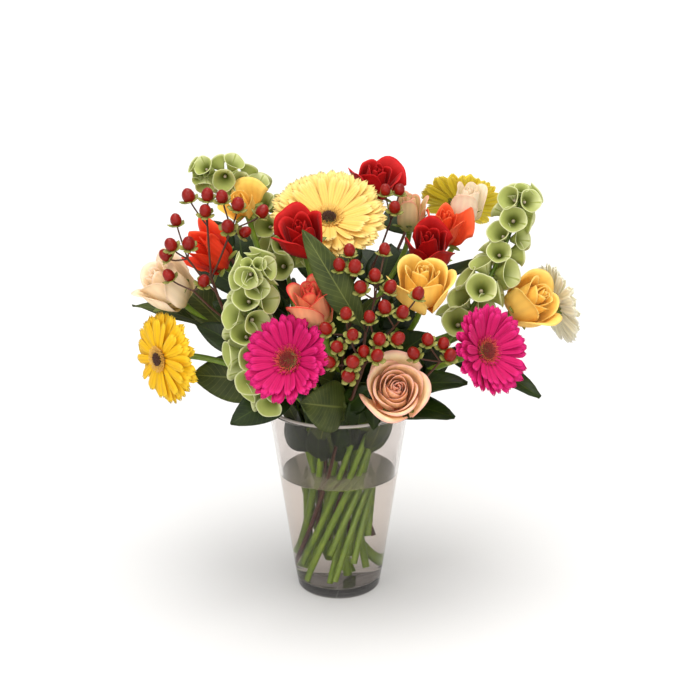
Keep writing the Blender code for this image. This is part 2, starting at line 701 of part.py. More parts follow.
# ---------------------------------------------------------------- leaves
def leaf_shell(leaf, free):
    """A leaf on its stalk: flat diamonds strung along a bowed midrib."""
    root = along_way(free, leaf.share)
    tip = above_rim(leaf.tip)
    bow = root.lerp(tip, 0.5) + Vector((0, 0, (tip - root).length * LEAF_BOW))
    face = Vector(leaf.face)
    points, faces = [], []
    for share, span in LEAF_SECTIONS:
        here = root * (1 - share) ** 2 + bow * 2 * share * (1 - share) + tip * share**2
        along = ((bow - root) * (1 - share) + (tip - bow) * share).normalized()
        side = along.cross(face).normalized()
        up = side.cross(along)
        half = leaf.width / 2 * span if span else LEAF_STALK
        thick = LEAF_THICKNESS / 2 if span or share == 1.0 else LEAF_STALK
        keel = up * half * LEAF_KEEL
        points += [here + side * half + keel, here + up * thick, here - side * half + keel, here - up * thick]
    # The two skins are cut along the same diagonals, so that they can't pass through each other.
    for ring in range(len(LEAF_SECTIONS) - 1):
        low, high = ring * 4, ring * 4 + 4
        for edge in (0, 2):
            for middle in (1, 3):
                faces.append((low + edge, low + middle, high + middle))
                faces.append((low + edge, high + middle, high + edge))
    last = len(points) - 4
    for end in (0, last):
        faces += [(end, end + 1, end + 3), (end + 2, end + 3, end + 1)]
    return points, faces


def leaves_of(name, free):
    return [leaf_shell(leaf, free) for leaf in LEAVES if leaf.stem == name]


# ---------------------------------------------------------------- plants
def make_bloom(flower):
    seat, along = seat_of(flower)
    if isinstance(flower, Gerbera):
        shell = moved(gerbera_shell(flower), eye_of(flower), along)
    else:
        shell = moved(rose_shell(flower), seat, along)
    add_object(flower.name, *shell, flower.colour)


def make_bloom_stem(flower, stem, course):
    foot, neck, radius = stem
    along = seat_of(flower)[1]
    free = [Vector(p) for p in evenly(course, 9)]
    free.insert(-1, free[-1] - along * NECK_SETTLE)
    stalk = add_object(flower.name + "_stem", *tube([foot] + free, radius), "stem")
    grown = leaves_of(flower.name, free)
    if grown:
        fuse(stalk, grown)


def make_spike(spike, stem, course):
    """The bare stem and its whorls of bells, as one turned shape along the way."""
    marks, radii = spike_outline(spike, course)
    bare = list(np.linspace(0.0, marks[1], 5))
    total = lengths_along(course)[-1]
    way = [stem[0]] + [along_way(course, mark / total) for mark in bare + marks[2:]]
    sizes = [BELLS_STEM] * (1 + len(bare)) + radii[2:]
    add_object(spike.name, *tube(way, sizes, 8), "bells")


def cluster_shells(fork, berries, free):
    """A twig up to its fork, then a stalk and a berry for each place."""
    fork = above_rim(fork)
    root = fork_root(free, fork, TWIG_DROP)
    yield tube((root, root.lerp(fork, 0.5) - Vector((0, 0, TWIG_SAG)), fork), TWIG_RADIUS, 4)
    for berry in berries:
        berry = above_rim(berry)
        along = (berry - fork).normalized()
        yield tube((fork - along * STALK_RADIUS, berry), STALK_RADIUS, 3)
        yield berry_shell(berry, (along + BERRY_LIFT).normalized())


def make_sprig(sprig, stem, course):
    free = [Vector(p) for p in evenly(course, 7)]
    shells = [s for fork, berries in sprig.clusters for s in cluster_shells(fork, berries, free)]
    stalk = add_object(sprig.name, *tube([stem[0]] + free, stem[2]), "berry")
    fuse(stalk, shells + leaves_of(sprig.name, free))


def make_spray(spray, stem, course):
    """A bare stalk with its leaves in turn along it, the first one at the top."""
    free = [Vector(p) for p in evenly(course, 6)]
    stalk = add_object(spray.name, *tube([stem[0]] + free, stem[2]), "leaf")
    last = len(spray.tips) - 1
    shares = [SPRAY_FIRST - SPRAY_SPAN * index / last for index in range(last + 1)]
    fuse(stalk, [leaf_shell(Leaf(spray.name, share, tip, SPRAY_LEAF, UP), free)
                 for share, tip in zip(shares, spray.tips)])


def main():
    clear_scene()
    stems, courses = build_bouquet()
    make_vase()
    make_water(stems.values())
    for flower in GERBERAS + ROSES:
        make_bloom(flower)
        make_bloom_stem(flower, stems[flower.name], courses[flower.name])
    for make, plants in ((make_spike, SPIKES), (make_sprig, SPRIGS), (make_spray, SPRAYS)):
        for plant in plants:
            make(plant, stems[plant.name], courses[plant.name])


main()
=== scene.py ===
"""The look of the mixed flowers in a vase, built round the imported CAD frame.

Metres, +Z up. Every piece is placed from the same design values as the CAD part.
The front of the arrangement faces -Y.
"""

import math
from collections import namedtuple

import bpy
import numpy as np
from mathutils import Matrix, Vector


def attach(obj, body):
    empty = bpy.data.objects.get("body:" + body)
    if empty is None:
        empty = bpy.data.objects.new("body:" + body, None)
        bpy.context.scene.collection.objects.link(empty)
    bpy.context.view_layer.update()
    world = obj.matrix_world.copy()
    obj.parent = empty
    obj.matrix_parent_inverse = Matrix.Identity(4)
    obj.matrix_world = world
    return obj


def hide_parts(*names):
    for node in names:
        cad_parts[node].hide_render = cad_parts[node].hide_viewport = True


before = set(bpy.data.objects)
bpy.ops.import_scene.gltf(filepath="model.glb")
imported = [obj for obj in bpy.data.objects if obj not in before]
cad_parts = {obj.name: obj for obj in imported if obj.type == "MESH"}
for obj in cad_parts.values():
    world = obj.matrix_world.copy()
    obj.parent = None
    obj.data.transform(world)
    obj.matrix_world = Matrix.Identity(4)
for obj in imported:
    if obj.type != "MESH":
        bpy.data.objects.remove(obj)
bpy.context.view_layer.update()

# ---------------------------------------------------------------- the vase
VASE_HEIGHT = 0.200
RIM_RADIUS = 0.0714
FOOT_RADIUS = 0.043
GLASS_WALL = 0.003
GLASS_BASE = 0.010
FOOT_ROUNDING = 0.004

# ---------------------------------------------------------------- the water
WATER_LEVEL = 0.128

# ---------------------------------------------------------------- the stems
GERBERA_STEM = 0.0031  # radii
ROSE_STEM = 0.0028
BELLS_STEM = 0.0030
HYPERICUM_STEM = 0.0019
SPRAY_STEM = 0.0017
STEM_LIFT = 0.0025  # from the glass base to a cut end
SEAT_GAP = 0.0004  # between a stem's end and its bloom
NECK_INSET = 0.0224  # from the glass to the outer ring of stems, at the rim
FOOT_INSET = 0.0054  # the same, at the base

# Stems lean the same way round in three rings, so that they pass without crossing.
# share of the outer ring's radius at the rim and at the foot, stems, lean, first stem,
# and how high above the glass base each stem is cut
Ring = namedtuple("Ring", "neck foot count lean first cuts")
RINGS = {
    "outer": Ring(1.000, 1.000, 15, 110.0, -84.0, (
        0.000, 0.016, 0.000, 0.034, 0.006, 0.024, 0.050, 0.062,
        0.044, 0.058, 0.000, 0.030, 0.012, 0.000, 0.020)),
    "middle": Ring(0.578, 0.605, 10, 102.9, -79.8, (
        0.022, 0.048, 0.000, 0.030, 0.040, 0.010, 0.034, 0.000, 0.046, 0.026)),
    "inner": Ring(0.254, 0.290, 5, 99.7, -61.6, (0.036, 0.012, 0.044, 0.000, 0.028)),
}

# ---------------------------------------------------------------- the flowers
# place: across, back and above the rim. turn: which way the face looks, from the
# front towards +X. tilt: how far it looks up. Both in degrees.
Gerbera = namedtuple("Gerbera", "name place turn tilt width cup colour ring slot")
GERBERAS = (
    Gerbera("gerbera_cream", (-0.009, 0.004, 0.188), 3, 54, 0.114, 0.008, "cream", "inner", 3),
    Gerbera("gerbera_pink_left", (-0.045, -0.115, 0.081), -24, 28, 0.086, 0.009, "pink", "outer", 14),
    Gerbera("gerbera_pink_right", (0.142, -0.065, 0.074), 38, 24, 0.090, 0.010, "pink", "outer", 2),
    Gerbera("gerbera_yellow", (-0.175, -0.034, 0.056), -47, 2, 0.092, -0.010, "yellow", "outer", 12),
    Gerbera("gerbera_white", (0.220, 0.034, 0.093), 108, 14, 0.086, 0.004, "white", "outer", 5),
    Gerbera("gerbera_lime", (0.129, 0.118, 0.180), 168, 42, 0.088, 0.006, "lime", "outer", 6),
)
GERBERA_DEPTH = 0.014  # from the eye down to the stem
GERBERA_EYE = 0.011
CALYX_RADIUS = 0.0046

Rose = namedtuple("Rose", "name place turn tilt width length flare colour ring slot")
ROSES = (
    Rose("rose_cream", (-0.170, -0.016, 0.126), -58, 46, 0.052, 0.058, 0.95, "cream", "outer", 11),
    Rose("rose_coral", (-0.023, -0.096, 0.132), -18, 60, 0.042, 0.056, 0.80, "coral", "middle", 0),
    Rose("rose_peach", (0.054, -0.115, 0.052), 4, 34, 0.060, 0.048, 1.00, "peach", "outer", 1),
    Rose("rose_yellow_front", (0.080, -0.064, 0.142), 4, 62, 0.058, 0.056, 0.95, "yellow", "middle", 2),
    Rose("rose_yellow_right", (0.192, -0.010, 0.109), 48, 34, 0.054, 0.056, 0.90, "yellow", "outer", 4),
    Rose("rose_red_front", (-0.034, -0.061, 0.186), -20, 60, 0.048, 0.044, 1.10, "red", "inner", 4),
    Rose("rose_red_top", (0.038, 0.060, 0.215), 30, 68, 0.050, 0.042, 1.10, "red", "middle", 6),
    Rose("rose_red_centre", (0.088, 0.000, 0.162), -8, 63, 0.050, 0.050, 1.00, "red", "middle", 3),
    Rose("rose_orange_centre", (0.107, 0.045, 0.172), 20, 67, 0.042, 0.048, 1.00, "orange", "inner", 1),
    Rose("rose_orange_left", (-0.129, 0.000, 0.155), -60, 40, 0.042, 0.052, 1.00, "orange", "middle",
         8),
    Rose("rose_yellow_back", (-0.097, 0.028, 0.199), -30, 50, 0.042, 0.036, 1.15, "yellow", "middle",
         7),
    Rose("rose_white_bud", (0.132, 0.072, 0.192), 20, 70, 0.038, 0.046, 0.75, "ivory", "middle", 4),
    Rose("rose_cream_bud", (0.072, 0.060, 0.185), 0, 74, 0.034, 0.046, 0.75, "blush", "middle", 5),
)
ROSE_BELLY = 0.55  # the share of its length at which a rose is at its place and full width

# A spike: the places its stem goes through, how far up it the bells start, and
# the widest and the last whorl's radius.
Spike = namedtuple("Spike", "name way start wide last ring slot")
SPIKES = (
    Spike(
        "bells_left_back",
        ((-0.046, 0.046, 0.080), (-0.060, 0.060, 0.150), (-0.084, 0.068, 0.196),
         (-0.112, 0.060, 0.221), (-0.140, 0.052, 0.222)),
        0.46, 0.024, 0.014, "outer", 10,
    ),
    Spike(
        "bells_left_front",
        ((-0.060, -0.058, 0.028), (-0.080, -0.072, 0.060), (-0.084, -0.078, 0.100),
         (-0.077, -0.085, 0.140), (-0.076, -0.098, 0.166)),
        0.24, 0.024, 0.017, "outer", 13,
    ),
    Spike(
        "bells_right",
        ((0.088, -0.014, 0.040), (0.118, -0.012, 0.082), (0.142, -0.010, 0.120),
         (0.163, 0.004, 0.160), (0.174, 0.004, 0.196), (0.178, 0.002, 0.212)),
        0.42, 0.025, 0.016, "outer", 3,
    ),
)
WHORL_SPACING = 0.021
WHORL_OPEN = 0.62  # the share of a whorl's spacing at which it is widest
WHORL_WAIST = 0.55  # and how wide it is just before the next, as a share

# A sprig: the places its stem goes through, then its clusters, each where the
# twig forks and where its berries are.
Sprig = namedtuple("Sprig", "name way clusters ring slot")
SPRIGS = (
    Sprig(
        "hypericum_left",
        ((-0.074, -0.030, 0.045), (-0.104, -0.032, 0.090), (-0.122, -0.038, 0.142)),
        (
            ((-0.123, -0.035, 0.188), ((-0.140, -0.035, 0.217), (-0.121, -0.045, 0.220),
                                       (-0.123, -0.050, 0.206))),
            ((-0.100, -0.040, 0.186), ((-0.107, -0.050, 0.219), (-0.092, -0.055, 0.213),
                                       (-0.102, -0.054, 0.192), (-0.087, -0.042, 0.184),
                                       (-0.071, -0.035, 0.202))),
            ((-0.142, -0.042, 0.158), ((-0.152, -0.040, 0.195), (-0.156, -0.052, 0.174),
                                       (-0.163, -0.040, 0.161), (-0.139, -0.055, 0.176))),
            ((-0.138, -0.045, 0.128), ((-0.160, -0.046, 0.143), (-0.126, -0.055, 0.140))),
        ),
        "middle", 9,
    ),
    Sprig(
        "hypericum_centre",
        ((0.014, -0.072, 0.030), (0.022, -0.090, 0.066), (0.026, -0.100, 0.104)),
        (
            ((0.013, -0.098, 0.150), ((0.011, -0.100, 0.180), (0.002, -0.106, 0.168),
                                      (0.016, -0.112, 0.168))),
            ((0.034, -0.100, 0.134), ((0.034, -0.105, 0.158), (0.021, -0.112, 0.149),
                                      (0.043, -0.088, 0.178), (0.048, -0.104, 0.147))),
            ((0.052, -0.107, 0.110), ((0.043, -0.115, 0.131), (0.059, -0.117, 0.127),
                                      (0.073, -0.112, 0.143))),
            ((0.010, -0.112, 0.104), ((0.008, -0.125, 0.128), (-0.010, -0.122, 0.113),
                                      (0.000, -0.132, 0.099), (0.014, -0.134, 0.111))),
            ((0.035, -0.112, 0.096), ((0.029, -0.122, 0.124), (0.038, -0.128, 0.105),
                                      (0.055, -0.120, 0.103))),
            ((0.026, -0.112, 0.078), ((0.024, -0.130, 0.094), (0.036, -0.136, 0.092),
                                      (0.014, -0.136, 0.086), (0.010, -0.134, 0.072),
                                      (-0.007, -0.130, 0.084))),
        ),
        "outer", 0,
    ),
    Sprig(
        "hypericum_right",
        ((0.058, -0.062, 0.026), (0.082, -0.078, 0.048)),
        (((0.096, -0.086, 0.070), ((0.083, -0.100, 0.096), (0.098, -0.096, 0.091),
                                   (0.104, -0.100, 0.081), (0.070, -0.104, 0.084))),),
        "middle", 1,
    ),
    Sprig(
        "hypericum_top",
        ((0.010, 0.018, 0.070), (0.036, 0.020, 0.140)),
        (((0.052, 0.020, 0.182), ((0.046, 0.016, 0.213), (0.060, 0.022, 0.212),
                                  (0.055, 0.006, 0.198))),),
        "inner", 2,
    ),
)
BERRY_RADIUS = 0.0054
TWIG_RADIUS = 0.0010
STALK_RADIUS = 0.0008
TWIG_DROP = 0.035  # from a cluster's fork down to where its twig leaves the stem
BERRY_LIFT = Vector((0.0, -0.3, 0.8))  # how far a berry turns up from its stalk

# A leaf: the stem it grows on, how far up the stem's free part, its tip, its width.
Leaf = namedtuple("Leaf", "stem share tip width face")
UP = (0.0, -0.35, 0.94)
FRONT = (0.0, -0.95, 0.30)
LEAVES = (
    Leaf("hypericum_centre", 0.98, (-0.031, -0.092, 0.197), 0.024, FRONT),
    Leaf("hypericum_centre", 0.10, (-0.034, -0.116, 0.040), 0.040, FRONT),
    Leaf("hypericum_centre", 0.04, (-0.020, -0.084, 0.020), 0.022, FRONT),
    Leaf("rose_cream", 0.62, (-0.208, 0.030, 0.092), 0.016, UP),
    Leaf("rose_cream", 0.18, (-0.146, -0.004, 0.030), 0.040, FRONT),
    Leaf("rose_cream", 0.55, (-0.172, 0.034, 0.120), 0.034, UP),
    Leaf("hypericum_left", 0.22, (-0.104, -0.064, 0.000), 0.030, FRONT),
    Leaf("hypericum_left", 0.45, (-0.140, -0.010, 0.084), 0.030, UP),
    Leaf("rose_orange_left", 0.50, (-0.122, -0.022, 0.110), 0.028, FRONT),
    Leaf("rose_orange_left", 0.30, (-0.104, 0.034, 0.096), 0.030, UP),
    Leaf("rose_coral", 0.42, (-0.050, -0.066, 0.030), 0.020, FRONT),
    Leaf("rose_peach", 0.30, (0.112, -0.070, 0.008), 0.034, UP),
    Leaf("rose_peach", 0.34, (0.034, -0.092, 0.004), 0.014, FRONT),
    Leaf("hypericum_right", 0.35, (0.124, -0.062, 0.040), 0.034, UP),
    Leaf("rose_yellow_right", 0.45, (0.198, -0.034, 0.016), 0.032, UP),
    Leaf("rose_yellow_front", 0.36, (0.086, -0.060, 0.090), 0.034, FRONT),
    Leaf("rose_red_centre", 0.52, (0.058, -0.052, 0.124), 0.032, FRONT),
    Leaf("rose_red_front", 0.50, (0.012, -0.064, 0.118), 0.028, FRONT),
    Leaf("rose_cream_bud", 0.60, (0.056, 0.098, 0.140), 0.032, UP),
    Leaf("rose_white_bud", 0.50, (0.150, 0.020, 0.140), 0.030, UP),
    Leaf("rose_red_top", 0.60, (0.000, 0.096, 0.150), 0.034, UP),
)

# A spray: the places its stem goes through, and the tips of its leaves.
Spray = namedtuple("Spray", "name way tips ring slot")
SPRAYS = (
    Spray(
        "leaves_back_right",
        ((0.030, 0.074, 0.050), (0.052, 0.098, 0.110), (0.070, 0.112, 0.150)),
        ((0.060, 0.130, 0.176), (0.086, 0.130, 0.120), (0.020, 0.120, 0.130), (0.070, 0.120, 0.060),
         (0.010, 0.105, 0.060), (0.076, 0.092, 0.010)),
        "outer", 7,
    ),
    Spray(
        "leaves_back",
        ((-0.018, 0.076, 0.050), (-0.014, 0.098, 0.100), (-0.012, 0.108, 0.150)),
        ((-0.014, 0.110, 0.200), (0.016, 0.128, 0.180), (-0.046, 0.122, 0.150), (0.020, 0.135, 0.085),
         (-0.050, 0.116, 0.060), (-0.006, 0.122, 0.016)),
        "outer", 8,
    ),
    Spray(
        "leaves_back_left",
        ((-0.056, 0.072, 0.044), (-0.092, 0.090, 0.090), (-0.116, 0.098, 0.130)),
        ((-0.142, 0.100, 0.164), (-0.108, 0.124, 0.154), (-0.152, 0.082, 0.120), (-0.084, 0.126, 0.090),
         (-0.128, 0.070, 0.060), (-0.096, 0.090, 0.010)),
        "outer", 9,
    ),
)
SPRAY_LEAF = 0.034  # the width of a spray's leaves
SPRAY_FIRST = 0.97  # how far up the stem the top leaf grows
SPRAY_SPAN = 0.85  # the share of the stem that bears leaves


def facing(turn, tilt):
    turn, tilt = math.radians(turn), math.radians(tilt)
    flat = math.cos(tilt)
    return Vector((math.sin(turn) * flat, -math.cos(turn) * flat, math.sin(tilt)))


def above_rim(place):
    return Vector((place[0], place[1], place[2] + VASE_HEIGHT))


def bezier(a, b, c, d, count):
    steps = [i / (count - 1) for i in range(count)]
    return [a * (1 - t) ** 3 + b * 3 * t * (1 - t) ** 2 + c * 3 * t * t * (1 - t) + d * t**3 for t in steps]


def smooth_through(points, each):
    """A Catmull-Rom curve from the second point to the last but one."""
    out = []
    for a, b, c, d in zip(points, points[1:], points[2:], points[3:]):
        for i in range(each):
            t = i / each
            out.append(0.5 * (2 * b + (c - a) * t + (2 * a - 5 * b + 4 * c - d) * t**2
                              + (3 * b - a - 3 * c + d) * t**3))
    out.append(points[-2])
    return out


def lengths_along(course):
    """How far along the course each of its points is."""
    steps = np.linalg.norm(np.diff(np.array([tuple(p) for p in course]), axis=0), axis=1)
    return np.concatenate([[0.0], np.cumsum(steps)])


def evenly(way, count):
    """The same curve as `count` points at equal spacing."""
    way = np.array([tuple(p) for p in way])
    run = lengths_along(way)
    marks = np.linspace(0.0, run[-1], count)
    return np.stack([np.interp(marks, run, way[:, axis]) for axis in range(3)], axis=1)


def along_way(way, share):
    """The point at this share of the way's length."""
    way = np.array([tuple(p) for p in way])
    run = lengths_along(way)
    return Vector([np.interp(share * run[-1], run, way[:, axis]) for axis in range(3)])


def glass_radius(height):
    """The inside of the glass at this height."""
    share = height / VASE_HEIGHT
    return FOOT_RADIUS + (RIM_RADIUS - FOOT_RADIUS) * share - GLASS_WALL


# ---------------------------------------------------------------- how the stems stand
def slot(ring, number):
    """A stem's cut end, and where it passes the rim."""
    spec = RINGS[ring]
    neck_angle = math.radians(spec.first + 360.0 / spec.count * number)
    foot_angle = neck_angle - math.radians(spec.lean)
    neck = (glass_radius(VASE_HEIGHT) - NECK_INSET) * spec.neck
    foot = (glass_radius(GLASS_BASE) - FOOT_INSET) * spec.foot
    low = Vector((foot * math.cos(foot_angle), foot * math.sin(foot_angle), GLASS_BASE + STEM_LIFT))
    high = Vector((neck * math.cos(neck_angle), neck * math.sin(neck_angle), VASE_HEIGHT))
    return low.lerp(high, spec.cuts[number] / (high.z - low.z)), high


FREE_POINTS = 36  # along each stem, above the rim
REACH = 0.28  # how long a stem keeps the way it leaves the rim and meets the bloom


def free_part(foot, neck, way, end, along):
    """A stem's course from the rim to its end, before the stems are eased apart."""
    lean = (neck - foot).normalized()
    if way:
        through = [foot, neck] + [above_rim(p) for p in way]
        through.append(through[-1] * 2 - through[-2])
        return evenly(smooth_through(through, 10), FREE_POINTS)
    span = (end - neck).length * REACH
    return evenly(bezier(neck, neck + lean * span, end - along * span, end, 60), FREE_POINTS)


EASE_ROUNDS = 240
EASE_MARGIN = 0.0012  # the gap the stems are eased to
EASE_ENDS = 0.12  # the share of a stem at each end over which it is held more and more
EASE_STEP = 0.0025  # the furthest a point moves in one round
EASE_SMOOTHING = 0.30
STEM_PUSH = 0.5
BLOOM_PUSH = 0.6


def push_from(place, size, owner, centre, ball, ball_owner):
    """How far each point has to go to clear the spheres that aren't its own plant's."""
    gap = place[:, None, :] - centre[None, :, :]
    far = np.linalg.norm(gap, axis=2) + 1e-9
    short = size[:, None] + ball[None, :] + EASE_MARGIN - far
    short[owner[:, None] == ball_owner[None, :]] = 0.0
    short = np.clip(short, 0.0, None)
    return (gap / far[:, :, None] * short[:, :, None]).sum(axis=1)


def ease_apart(courses, radii, firm, blocks):
    """Moves the free parts sideways until no two stems, and no stem and bloom, touch.

    `firm` courses keep their place. `blocks` are spheres (centre, radius, owner), and a
    stem passes through its own.
    """
    names = list(courses)
    count = FREE_POINTS
    place = np.concatenate([courses[n] for n in names])
    size = np.concatenate([np.broadcast_to(radii[n], count) for n in names])
    owner = np.repeat(np.arange(len(names)), count)
    share = np.tile(np.linspace(0.0, 1.0, count), len(names))
    loose = np.clip(np.minimum(share, 1 - share) / EASE_ENDS, 0, 1)
    loose[np.isin(owner, [names.index(n) for n in firm])] = 0.0
    rest = place.copy()
    centre = np.array([tuple(b[0]) for b in blocks])
    ball = np.array([b[1] for b in blocks])
    block_owner = np.array([names.index(b[2]) for b in blocks])
    for _ in range(EASE_ROUNDS):
        push = push_from(place, size, owner, place, size, owner) * STEM_PUSH
        push += push_from(place, size, owner, centre, ball, block_owner) * BLOOM_PUSH
        length = np.linalg.norm(push, axis=1, keepdims=True) + 1e-12
        push *= np.minimum(1.0, EASE_STEP / length)
        place += push * loose[:, None]
        offset = (place - rest).reshape(len(names), count, 3)
        level = 0.5 * (offset[:, :-2] + offset[:, 2:])
        offset[:, 1:-1] += EASE_SMOOTHING * (level - offset[:, 1:-1])
        place = rest + offset.reshape(-1, 3) * (loose > 0)[:, None]
    return {n: place[i * count:(i + 1) * count] for i, n in enumerate(names)}


def eye_of(flower):
    return above_rim(flower.place)


def seat_of(flower):
    """The middle of a bloom's underside and the way it faces."""
    along = facing(flower.turn, flower.tilt)
    if isinstance(flower, Gerbera):
        return eye_of(flower) - along * GERBERA_DEPTH, along
    return above_rim(flower.place) - along * (flower.length * ROSE_BELLY), along


def bloom_blocks(flower):
    """Spheres that fill the bloom, which other stems keep clear of."""
    seat, along = seat_of(flower)
    if isinstance(flower, Rose):
        half = flower.width / 2
        yield seat + along * flower.length * ROSE_BELLY, half * 0.98, flower.name
        yield seat + along * flower.length * 0.78, half * flower.flare * 0.95, flower.name
        yield seat + along * flower.length * 0.20, half * 0.60, flower.name
        return
    side = along.orthogonal().normalized()
    other = along.cross(side)
    eye = eye_of(flower)
    yield eye - along * 0.006, GERBERA_EYE, flower.name
    for ring in (0.5, 0.75, 1.0):
        radius = flower.width / 2 * ring
        for step in range(14):
            angle = 2 * math.pi * step / 14
            spoke = side * math.cos(angle) + other * math.sin(angle)
            lift = flower.cup * ring - 0.004 * (1 - ring)
            yield eye + spoke * radius + along * lift, 0.0045, flower.name


def spike_outline(spike, course):
    """Distances along the free part and the radius at each: bare stem, then whorls of bells."""
    total = lengths_along(course)[-1]
    start = total * spike.start
    whorls = max(int(round((total - start) / WHORL_SPACING)), 2)
    spacing = (total - start) / whorls
    marks, radii = [0.0, start], [BELLS_STEM, BELLS_STEM]
    for whorl in range(whorls):
        wide = spike.wide + (spike.last - spike.wide) * (whorl / (whorls - 1)) ** 2
        base = start + whorl * spacing
        marks += [base + spacing * WHORL_OPEN, base + spacing]
        radii += [wide, wide * WHORL_WAIST]
    return marks, radii


def fork_root(way, point, drop):
    """The place on the way that lies `drop` below the point."""
    shares = np.linspace(0.0, 0.98, 60)
    heights = np.array([along_way(way, share).z for share in shares])
    return along_way(way, shares[int(np.argmin(np.abs(heights - (point.z - drop))))])


def stem_courses():
    """Every stem's foot, neck and radius by plant, and the way its free part goes."""
    stems, courses = {}, {}
    for flower in GERBERAS + ROSES:
        foot, neck = slot(flower.ring, flower.slot)
        seat, along = seat_of(flower)
        stems[flower.name] = (foot, neck, GERBERA_STEM if isinstance(flower, Gerbera) else ROSE_STEM)
        courses[flower.name] = free_part(foot, neck, (), seat - along * SEAT_GAP, along)
    for plants, radius in ((SPIKES, BELLS_STEM), (SPRIGS, HYPERICUM_STEM), (SPRAYS, SPRAY_STEM)):
        for plant in plants:
            foot, neck = slot(plant.ring, plant.slot)
            stems[plant.name] = (foot, neck, radius)
            courses[plant.name] = free_part(foot, neck, plant.way, None, None)
    return stems, courses


def build_bouquet():
    """The stems, with their free parts clear of each other and of the blooms."""
    stems, courses = stem_courses()
    radii = {name: stem[2] for name, stem in stems.items()}
    for spike in SPIKES:
        marks, sizes = spike_outline(spike, courses[spike.name])
        run = lengths_along(courses[spike.name])
        radii[spike.name] = np.interp(run, marks, np.maximum.accumulate(sizes))
    blocks = [b for flower in GERBERAS + ROSES for b in bloom_blocks(flower)]
    for sprig in SPRIGS:
        for fork, berries in sprig.clusters:
            blocks += [(above_rim(p), BERRY_RADIUS * 1.1, sprig.name) for p in berries]
            blocks.append((above_rim(fork), TWIG_RADIUS * 2, sprig.name))
    firm = [plant.name for plant in SPIKES + SPRIGS + SPRAYS]
    return stems, ease_apart(courses, radii, firm, blocks)


# ---------------------------------------------------------------- colours
def lin(red, green, blue):
    """A screen colour, each part 0 to 255, as linear light with alpha."""
    parts = [part / 255 for part in (red, green, blue)]
    return tuple(c / 12.92 if c < 0.04045 else ((c + 0.055) / 1.055) ** 2.4 for c in parts) + (1.0,)


# ---------------------------------------------------------------- node building
def put(tree, kind, values=(), **settings):
    """Adds a node; `values` go to its inputs by number or name, as sockets or constants."""
    node = tree.nodes.new(kind)
    for key, value in settings.items():
        setattr(node, key, value)
    pairs = values.items() if isinstance(values, dict) else enumerate(values)
    for key, value in pairs:
        if isinstance(value, bpy.types.NodeSocket):
            tree.links.new(value, node.inputs[key])
        elif value is not None:
            node.inputs[key].default_value = value
    return node


def calc(tree, operation, *values):
    return put(tree, "ShaderNodeMath", values, operation=operation).outputs[0]


def vec(tree, operation, *values):
    node = put(tree, "ShaderNodeVectorMath", values, operation=operation)
    return node.outputs["Value" if operation in ("LENGTH", "DOT_PRODUCT", "DISTANCE") else "Vector"]


def new_group(name, kind, inputs, outputs):
    """A node group with named inputs (name, socket type, default) and outputs (name, type)."""
    tree = bpy.data.node_groups.new(name, kind)
    for label, socket, default in inputs:
        made = tree.interface.new_socket(label, in_out="INPUT", socket_type="NodeSocket" + socket)
        if default is not None:
            made.default_value = default
    for label, socket in outputs:
        tree.interface.new_socket(label, in_out="OUTPUT", socket_type="NodeSocket" + socket)
    return tree, tree.nodes.new("NodeGroupInput").outputs, tree.nodes.new("NodeGroupOutput").inputs


def growth_tree(name, inputs):
    """A Geometry Nodes tree that adds to what it is given."""
    tree, given, result = new_group(
        name, "GeometryNodeTree", [("Geometry", "Geometry", None)] + inputs, [("Geometry", "Geometry")])
    return tree, given, result


def finish_growth(tree, given, result, instances, keep_old=True):
    """Real mesh, one finish, smooth faces, joined to what was there before."""
    real = put(tree, "GeometryNodeRealizeInstances", {0: instances}).outputs[0]
    smooth = put(tree, "GeometryNodeSetShadeSmooth", {0: real}).outputs[0]
    finish = put(tree, "GeometryNodeSetMaterial", {0: smooth, 2: given["Material"]}).outputs[0]
    if not keep_old:
        tree.links.new(finish, result[0])
        return
    join = tree.nodes.new("GeometryNodeJoinGeometry")
    tree.links.new(given["Geometry"], join.inputs[0])
    tree.links.new(finish, join.inputs[0])
    tree.links.new(join.outputs[0], result[0])


def random_between(tree, low, high, seed, shift=0.0):
    """A random number for each point or instance."""
    salt = calc(tree, "ADD", seed, shift)
    return put(tree, "FunctionNodeRandomValue", {2: low, 3: high, 8: salt}).outputs[1]


def named(tree, geometry, name, value, kind="FLOAT", domain="INSTANCE"):
    node = put(tree, "GeometryNodeStoreNamedAttribute", {0: geometry, 2: name}, data_type=kind,
               domain=domain)
    tree.links.new(value, node.inputs[3])
    return node.outputs[0]


def read(tree, name, kind="FLOAT"):
    return put(tree, "GeometryNodeInputNamedAttribute", {0: name}, data_type=kind).outputs[0]


